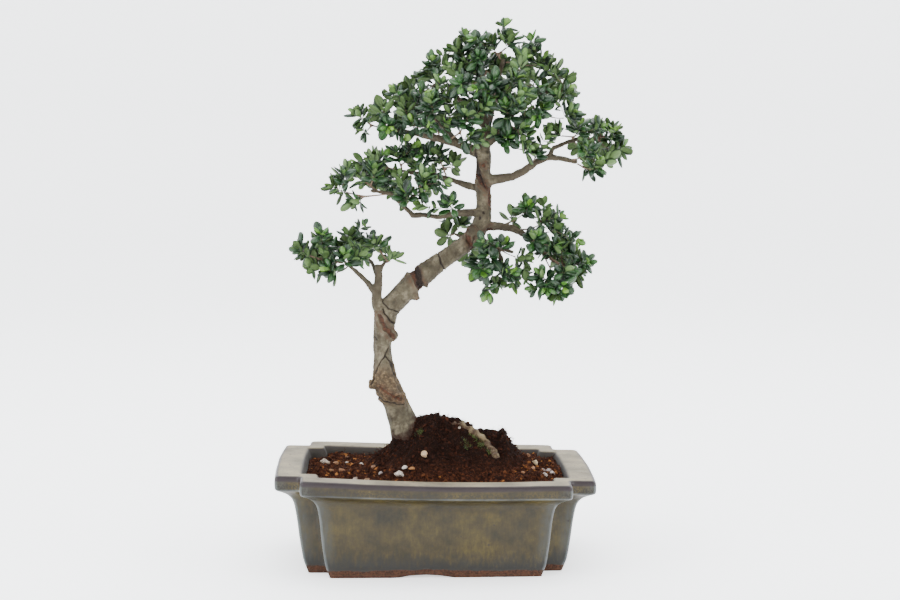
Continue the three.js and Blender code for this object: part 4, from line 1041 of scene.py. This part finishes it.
def read_leaves(mesh):
    """The leaves of a modelled spray, and the spray without them. A modelled leaf is found by its
    midrib: two points 1 mm apart that share its four outline points."""
    spray = bmesh.new()
    spray.from_mesh(mesh)
    bmesh.ops.remove_doubles(spray, verts=spray.verts, dist=1e-6)
    spray.verts.index_update()
    place = [v.co.copy() for v in spray.verts]
    near = [{e.other_vert(v).index for e in v.link_edges} for v in spray.verts]
    leaves, spent = [], set()
    for v in range(len(place)):
        if len(near[v]) != 6 or v in spent:
            continue
        for w in sorted({q for o in near[v] for q in near[o]} - near[v] - {v}):
            outline = near[v] & near[w]
            thick = (place[v] - place[w]).length
            if len(near[w]) != 6 or len(outline) != 4 or abs(thick - MODELLED_THICKNESS) > 0.03 * MM:
                continue
            root = sum((place[q] for q in sorted((near[v] | near[w]) - outline)), Vector()) / 4
            tips = sorted(sorted(outline), key=lambda q: (place[q] - root).length)[2:]
            tip = (place[tips[0]] + place[tips[1]]) / 2
            upper, lower = (v, w) if (place[v] - tip).length > (place[w] - tip).length else (w, v)
            high = [place[q] for q in sorted(near[upper] - outline)]
            low = [place[q] for q in sorted(near[lower] - outline)]
            axis = (high[0] + high[1] - low[0] - low[1]).normalized()
            out = axis.cross(high[0] - high[1]).normalized()
            out = out if out.dot(tip - root) > 0 else -out
            radius = (high[0] - high[1]).length / math.sqrt(3)
            leaves.append({
                "root": root, "tip": tip, "face": (place[upper] - place[lower]).normalized(),
                "axis": axis, "out": out, "hub": root - out * radius / 2, "radius": radius,
            })
            spent |= outline | {v, w}
            break
    bmesh.ops.delete(spray, geom=[v for v in spray.verts if v.index in spent], context="VERTS")
    bmesh.ops.holes_fill(spray, edges=[e for e in spray.edges if e.is_boundary])
    return spray, leaves


# Leathery evergreen leaf: a waxy upper face that mirrors the sky, a duller and paler lower one,
# darker with age
leaf_skin, tree, shader = new_material("evergreen leaf")
place = add_node(tree, "ShaderNodeTexCoord").outputs["Object"]
tint, upper = (
    add_node(tree, "ShaderNodeAttribute", attribute_name=label).outputs["Fac"]
    for label in ("tint", "upper"))
blade = add_node(tree, "ShaderNodeUVMap", uv_map="blade")
across = add_node(tree, "ShaderNodeSeparateXYZ", {"Vector": blade})
middle = add_node(tree, "ShaderNodeMath", {0: across, 1: 0.5}, operation="SUBTRACT")
aside = add_node(tree, "ShaderNodeMath", {0: middle}, operation="ABSOLUTE")
age = add_node(tree, "ShaderNodeValToRGB", {"Fac": tint}, stops=[
    (0.0, "14271a"), (1.0, "6b8b38"), (0.35, "1d3720"), (0.65, "2d5125"), (0.82, "446a2b")])
# Mottling of 3 mm in the green
mottle = add_node(tree, "ShaderNodeTexNoise", {"Vector": place, "Scale": 330, "Detail": 3})
colour = add_node(tree, "ShaderNodeMix", {
    0: mottle, 6: age, 7: "5d7a3c"}, data_type="RGBA", blend_type="SOFT_LIGHT")
# The midrib is a paler line, one leaf width in fourteen, and the underside is paler too
rib = add_node(tree, "ShaderNodeMapRange", {
    "Value": aside, "From Min": 0.04, "From Max": 0.012, "To Max": 0.16})
pale = add_node(tree, "ShaderNodeMapRange", {
    "Value": upper, "From Min": 0.45, "From Max": 0.1, "To Max": 0.45})
for share, over in ((rib, "86a069"), (pale, "6c874c")):
    colour = add_node(tree, "ShaderNodeMix", {0: share, 6: colour, 7: over}, data_type="RGBA")
gloss = add_node(tree, "ShaderNodeMapRange", {"Value": upper, "To Min": 0.62, "To Max": 0.3})
# Side veins leave the midrib at a slant, nine to a leaf
slant = add_node(tree, "ShaderNodeMath", {
    0: aside, 1: -0.5, 2: across.outputs[1]}, operation="MULTIPLY_ADD")
veins = add_node(tree, "ShaderNodeMath", {0: slant, 1: 56.0}, operation="MULTIPLY")
waves = add_node(tree, "ShaderNodeMath", {0: veins}, operation="SINE")
relief = add_node(tree, "ShaderNodeMath", {0: waves, 1: 0.25, 2: mottle}, operation="MULTIPLY_ADD")
bump = add_node(tree, "ShaderNodeBump", {"Height": relief, "Strength": 0.3, "Distance": 0.0003})
wire(tree, shader, {
    "Base Color": colour, "Roughness": gloss, "IOR": 1.46, "Specular IOR Level": 0.4, "Normal": bump})

# Young twig bark: smooth, brown turning reddish, with pale pores
twig_bark, tree, shader = new_material("twig bark")
place = add_node(tree, "ShaderNodeTexCoord").outputs["Object"]
# Rings and pores of a millimetre, and redder stretches of 8 mm
rings = add_node(tree, "ShaderNodeTexNoise", {"Vector": place, "Scale": 900, "Detail": 4})
stretches = add_node(tree, "ShaderNodeTexNoise", {"Vector": place, "Scale": 120, "Detail": 2})
old, new = (
    add_node(tree, "ShaderNodeValToRGB", {"Fac": rings}, stops=stops) for stops in (
        [(0.35, "3a3024"), (0.68, "766a54")], [(0.35, "412a1e"), (0.68, "6f5340")]))
mixed = add_node(tree, "ShaderNodeMix", {0: stretches, 6: old, 7: new}, data_type="RGBA")
bump = add_node(tree, "ShaderNodeBump", {"Height": rings, "Strength": 0.5, "Distance": 0.0003})
wire(tree, shader, {"Base Color": mixed, "Roughness": 0.75, "Normal": bump})

# Leaves are kept apart by three places along each
LEAF_SHARES = (0.4, 0.7, 1.0)
LEAF_GAP = 1.5 * MM
sprays = {
    name: read_leaves(node.data) for name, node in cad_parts.items() if name.startswith("spray_")}
limb_spots = {}
for name, (_, leaves) in sprays.items():
    reach = limb_spots.setdefault(name.rsplit("_", 1)[0], [])
    reach += [list(leaf["root"].lerp(leaf["tip"], share)) for leaf in leaves for share in LEAF_SHARES]
spots = np.array([spot for reach in limb_spots.values() for spot in reach])
wood_tree = BVHTree.FromPolygons(
    [v.co.copy() for v in rounded.vertices], [tuple(p.vertices) for p in rounded.polygons])
draw = random.Random(23)


def leaf_spots(root, aim, size):
    return np.array([list(root + aim * size * share) for share in LEAF_SHARES])


def is_free(root, aim, size):
    """Whether a further leaf keeps clear of the leaves and the wood already there."""
    places = leaf_spots(root, aim, size)
    if np.min(np.linalg.norm(spots[None] - places[:, None], axis=2)) < LEAF_GAP:
        return False
    return wood_tree.ray_cast(root + aim * 0.2 * size, aim, size)[0] is None


def add_twig(body, line, thick, thin):
    """A round tapering twig through the places of line, closed at both ends."""
    last = len(line) - 1
    corners = []
    for k, middle in enumerate(line):
        ahead = (line[min(k + 1, last)] - line[max(k - 1, 0)]).normalized()
        side = ahead.orthogonal().normalized()
        radius = thick + (thin - thick) * k / last
        corners += [
            body.verts.new(middle + radius * (Matrix.Rotation(math.tau * i / 6, 3, ahead) @ side))
            for i in range(6)
        ]
    for face in [*ring_faces(len(line), 6), range(6)[::-1], range(6 * last, 6 * last + 6)]:
        body.faces.new([corners[i] for i in face])


# A side twig fills a place where foliage gapes by more than this, but only where modelled leaves
# stand all round it: so many within reach, their middle close, so that the crown keeps its outline
GAPE = 3.7 * MM
CROWD = 15
CROWD_REACH = 15 * MM
CROWD_OFF = 6.5 * MM
TWIG_TRIES = 8
TWIG_RADII = (0.5 * MM, 0.36 * MM)
# A side twig rises to its end and sags in between, by these shares of its length. Its turns of
# leaves stand at shares of its length, each turned by so many radians.
TWIG_RISE, TWIG_SAG = 0.12, 0.06
TWIG_TURNS = [(0.5, 0), (0.76, 1), (1.0, 2)]
TWIG_HUB = 0.8 * MM
# How long it is and how long its leaves are, in mm
TWIG_LENGTHS = (8, 15)
TWIG_LEAVES = (7, 10)
# The modelled rods are thicker than real twigs, by this much all round
TWIG_THINNING = 0.22 * MM
# Hubs closer than this are one turn of leaves, and a turn with none before it this far ends a shoot
SAME_TURN = 0.6 * MM
NEXT_TURN = 9 * MM
SMALLEST_LEAF = 4.5 * MM
# The modelled leaves are tinted from the oldest to this, and further ones stray by so many degrees
OLDEST_TINTS = 0.55
LEAF_STRAY = 16
# Further leaves of a turn: how many, degrees to the first and the next, spare degrees, rise, share
# of the size, mm over the turn, and tint from old to young. The last kind stands at shoots' ends.
MORE_LEAVES = [
    (3, 60, 120, 0, (0.0, 1.0), (0.62, 1.0), 1.0, (0.1, 0.6)),
    (3, 0, 120, 50, (0.5, 1.2), (0.5, 0.85), -1.2, (0.0, 0.5)),
    (4, 20, 90, 0, (0.9, 1.3), (0.5, 0.8), 1.8, (0.55, 1.0)),
]

for name, (rods, leaves) in sprays.items():
    # The leaves as modelled, and where each turn of three stands
    leaf_points, turns = [], []
    for leaf in leaves:
        along = leaf["tip"] - leaf["root"]
        size = along.length / LEAF_REACH
        shape, tint = draw.randrange(5), OLDEST_TINTS * draw.random()
        leaf_points.append((leaf["root"], along.normalized(), leaf["face"], size, shape, tint))
        if all((leaf["hub"] - turn["hub"]).length > SAME_TURN for turn in turns):
            turns.append({**leaf, "size": size})
    for turn in turns:
        gaps = [other["hub"] - turn["hub"] for other in turns]
        turn["is_end"] = not any(
            0.5 * MM < gap.length < NEXT_TURN and gap.normalized().dot(turn["axis"]) > 0.55 for gap in gaps)
    # Side twigs, each with three turns of leaves, where the limb's own foliage gapes
    limb_leaves = np.array(limb_spots[name.rsplit("_", 1)[0]])
    for turn in list(turns):
        for _ in range(TWIG_TRIES):
            out = Matrix.Rotation(draw.uniform(0, math.tau), 3, turn["axis"]) @ turn["out"]
            aim = (out + turn["axis"] * draw.uniform(0.1, 0.9)).normalized()
            length = draw.uniform(*TWIG_LENGTHS) * MM
            end = turn["hub"] + aim * length + Vector((0, 0, TWIG_RISE * length))
            gape = np.linalg.norm(spots - np.array(end), axis=1).min()
            crowd = limb_leaves[np.linalg.norm(limb_leaves - np.array(end), axis=1) < CROWD_REACH]
            is_open = gape > GAPE and len(crowd) > CROWD
            is_open = is_open and np.linalg.norm(crowd.mean(axis=0) - np.array(end)) < CROWD_OFF
            wood = wood_tree.ray_cast(turn["hub"] + aim * MM, aim, length + 2 * MM)[0]
            if not is_open or wood is not None:
                continue
            bent = (turn["hub"] + end) / 2 - Vector((0, 0, TWIG_SAG * length))
            line = [
                turn["hub"] * (1 - t) ** 2 + bent * 2 * t * (1 - t) + end * t ** 2
                for t in (0, 0.25, 0.5, 0.75, 1)
            ]
            add_twig(rods, line, *TWIG_RADII)
            ahead = (line[4] - line[3]).normalized()
            side = ahead.orthogonal().normalized()
            for share, spin in TWIG_TURNS:
                turns.append({
                    "hub": line[2].lerp(line[4], (share - 0.5) * 2), "axis": ahead,
                    "out": Matrix.Rotation(spin, 3, ahead) @ side, "radius": TWIG_HUB,
                    "size": draw.uniform(*TWIG_LEAVES) * MM, "is_end": share == 1.0})
            spots = np.vstack([spots, np.array([list(end)])])
            break
    # More leaves between the modelled ones, and young upright ones at each shoot's end
    for turn in turns:
        kinds = MORE_LEAVES if turn["is_end"] else MORE_LEAVES[:-1]
        wanted = [
            (first + step * k + (draw.uniform(0, spare) if spare else 0), draw.uniform(*rise),
             draw.uniform(*share), above, tints)
            for many, first, step, spare, rise, share, above, tints in kinds for k in range(many)
        ]
        for degrees, rise, share, above, tints in wanted:
            angle = math.radians(degrees + draw.uniform(-LEAF_STRAY, LEAF_STRAY))
            out = Matrix.Rotation(angle, 3, turn["axis"]) @ turn["out"]
            aim = (out * math.cos(rise) + turn["axis"] * math.sin(rise)).normalized()
            root = turn["hub"] + turn["axis"] * above * MM + out * 0.4 * turn["radius"]
            size = max(SMALLEST_LEAF, turn["size"] * share)
            face = (turn["axis"] * math.cos(rise) - out * math.sin(rise)).normalized()
            face = (face + 0.35 * Vector([draw.uniform(-1, 1) for _ in range(3)])).normalized()
            if is_free(root, aim, size):
                spots = np.vstack([spots, leaf_spots(root, aim, size)])
                leaf_points.append((root, aim, face, size, draw.randrange(5), draw.uniform(*tints)))
    blades = scatter(name, leaf_points, leaf_shapes, leaf_skin)
    # The twigs, rounded and thinned from the modelled rods
    rod_mesh = bpy.data.meshes.new("rods")
    rods.to_mesh(rod_mesh)
    rods.free()
    rod_object = add_object("rods", rod_mesh)
    rounding = rod_object.modifiers.new("round", "SUBSURF")
    rounding.levels = rounding.render_levels = 1
    twigs = as_modified(rod_object)
    bpy.data.objects.remove(rod_object)
    thinned = [v.co - TWIG_THINNING * v.normal for v in twigs.vertices]
    twigs.vertices.foreach_set("co", [c for place in thinned for c in place])
    finish_mesh(twigs, twig_bark)
    twigs.polygons.foreach_set("material_index", [len(blades.materials)] * len(twigs.polygons))
    both = bmesh.new()
    both.from_mesh(blades)
    both.from_mesh(twigs)
    blades.materials.append(twig_bark)
    both.to_mesh(blades)
    both.free()
    piece = add_object(name.replace("spray", "leaves"), blades)
    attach(piece, "root")
    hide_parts(name)
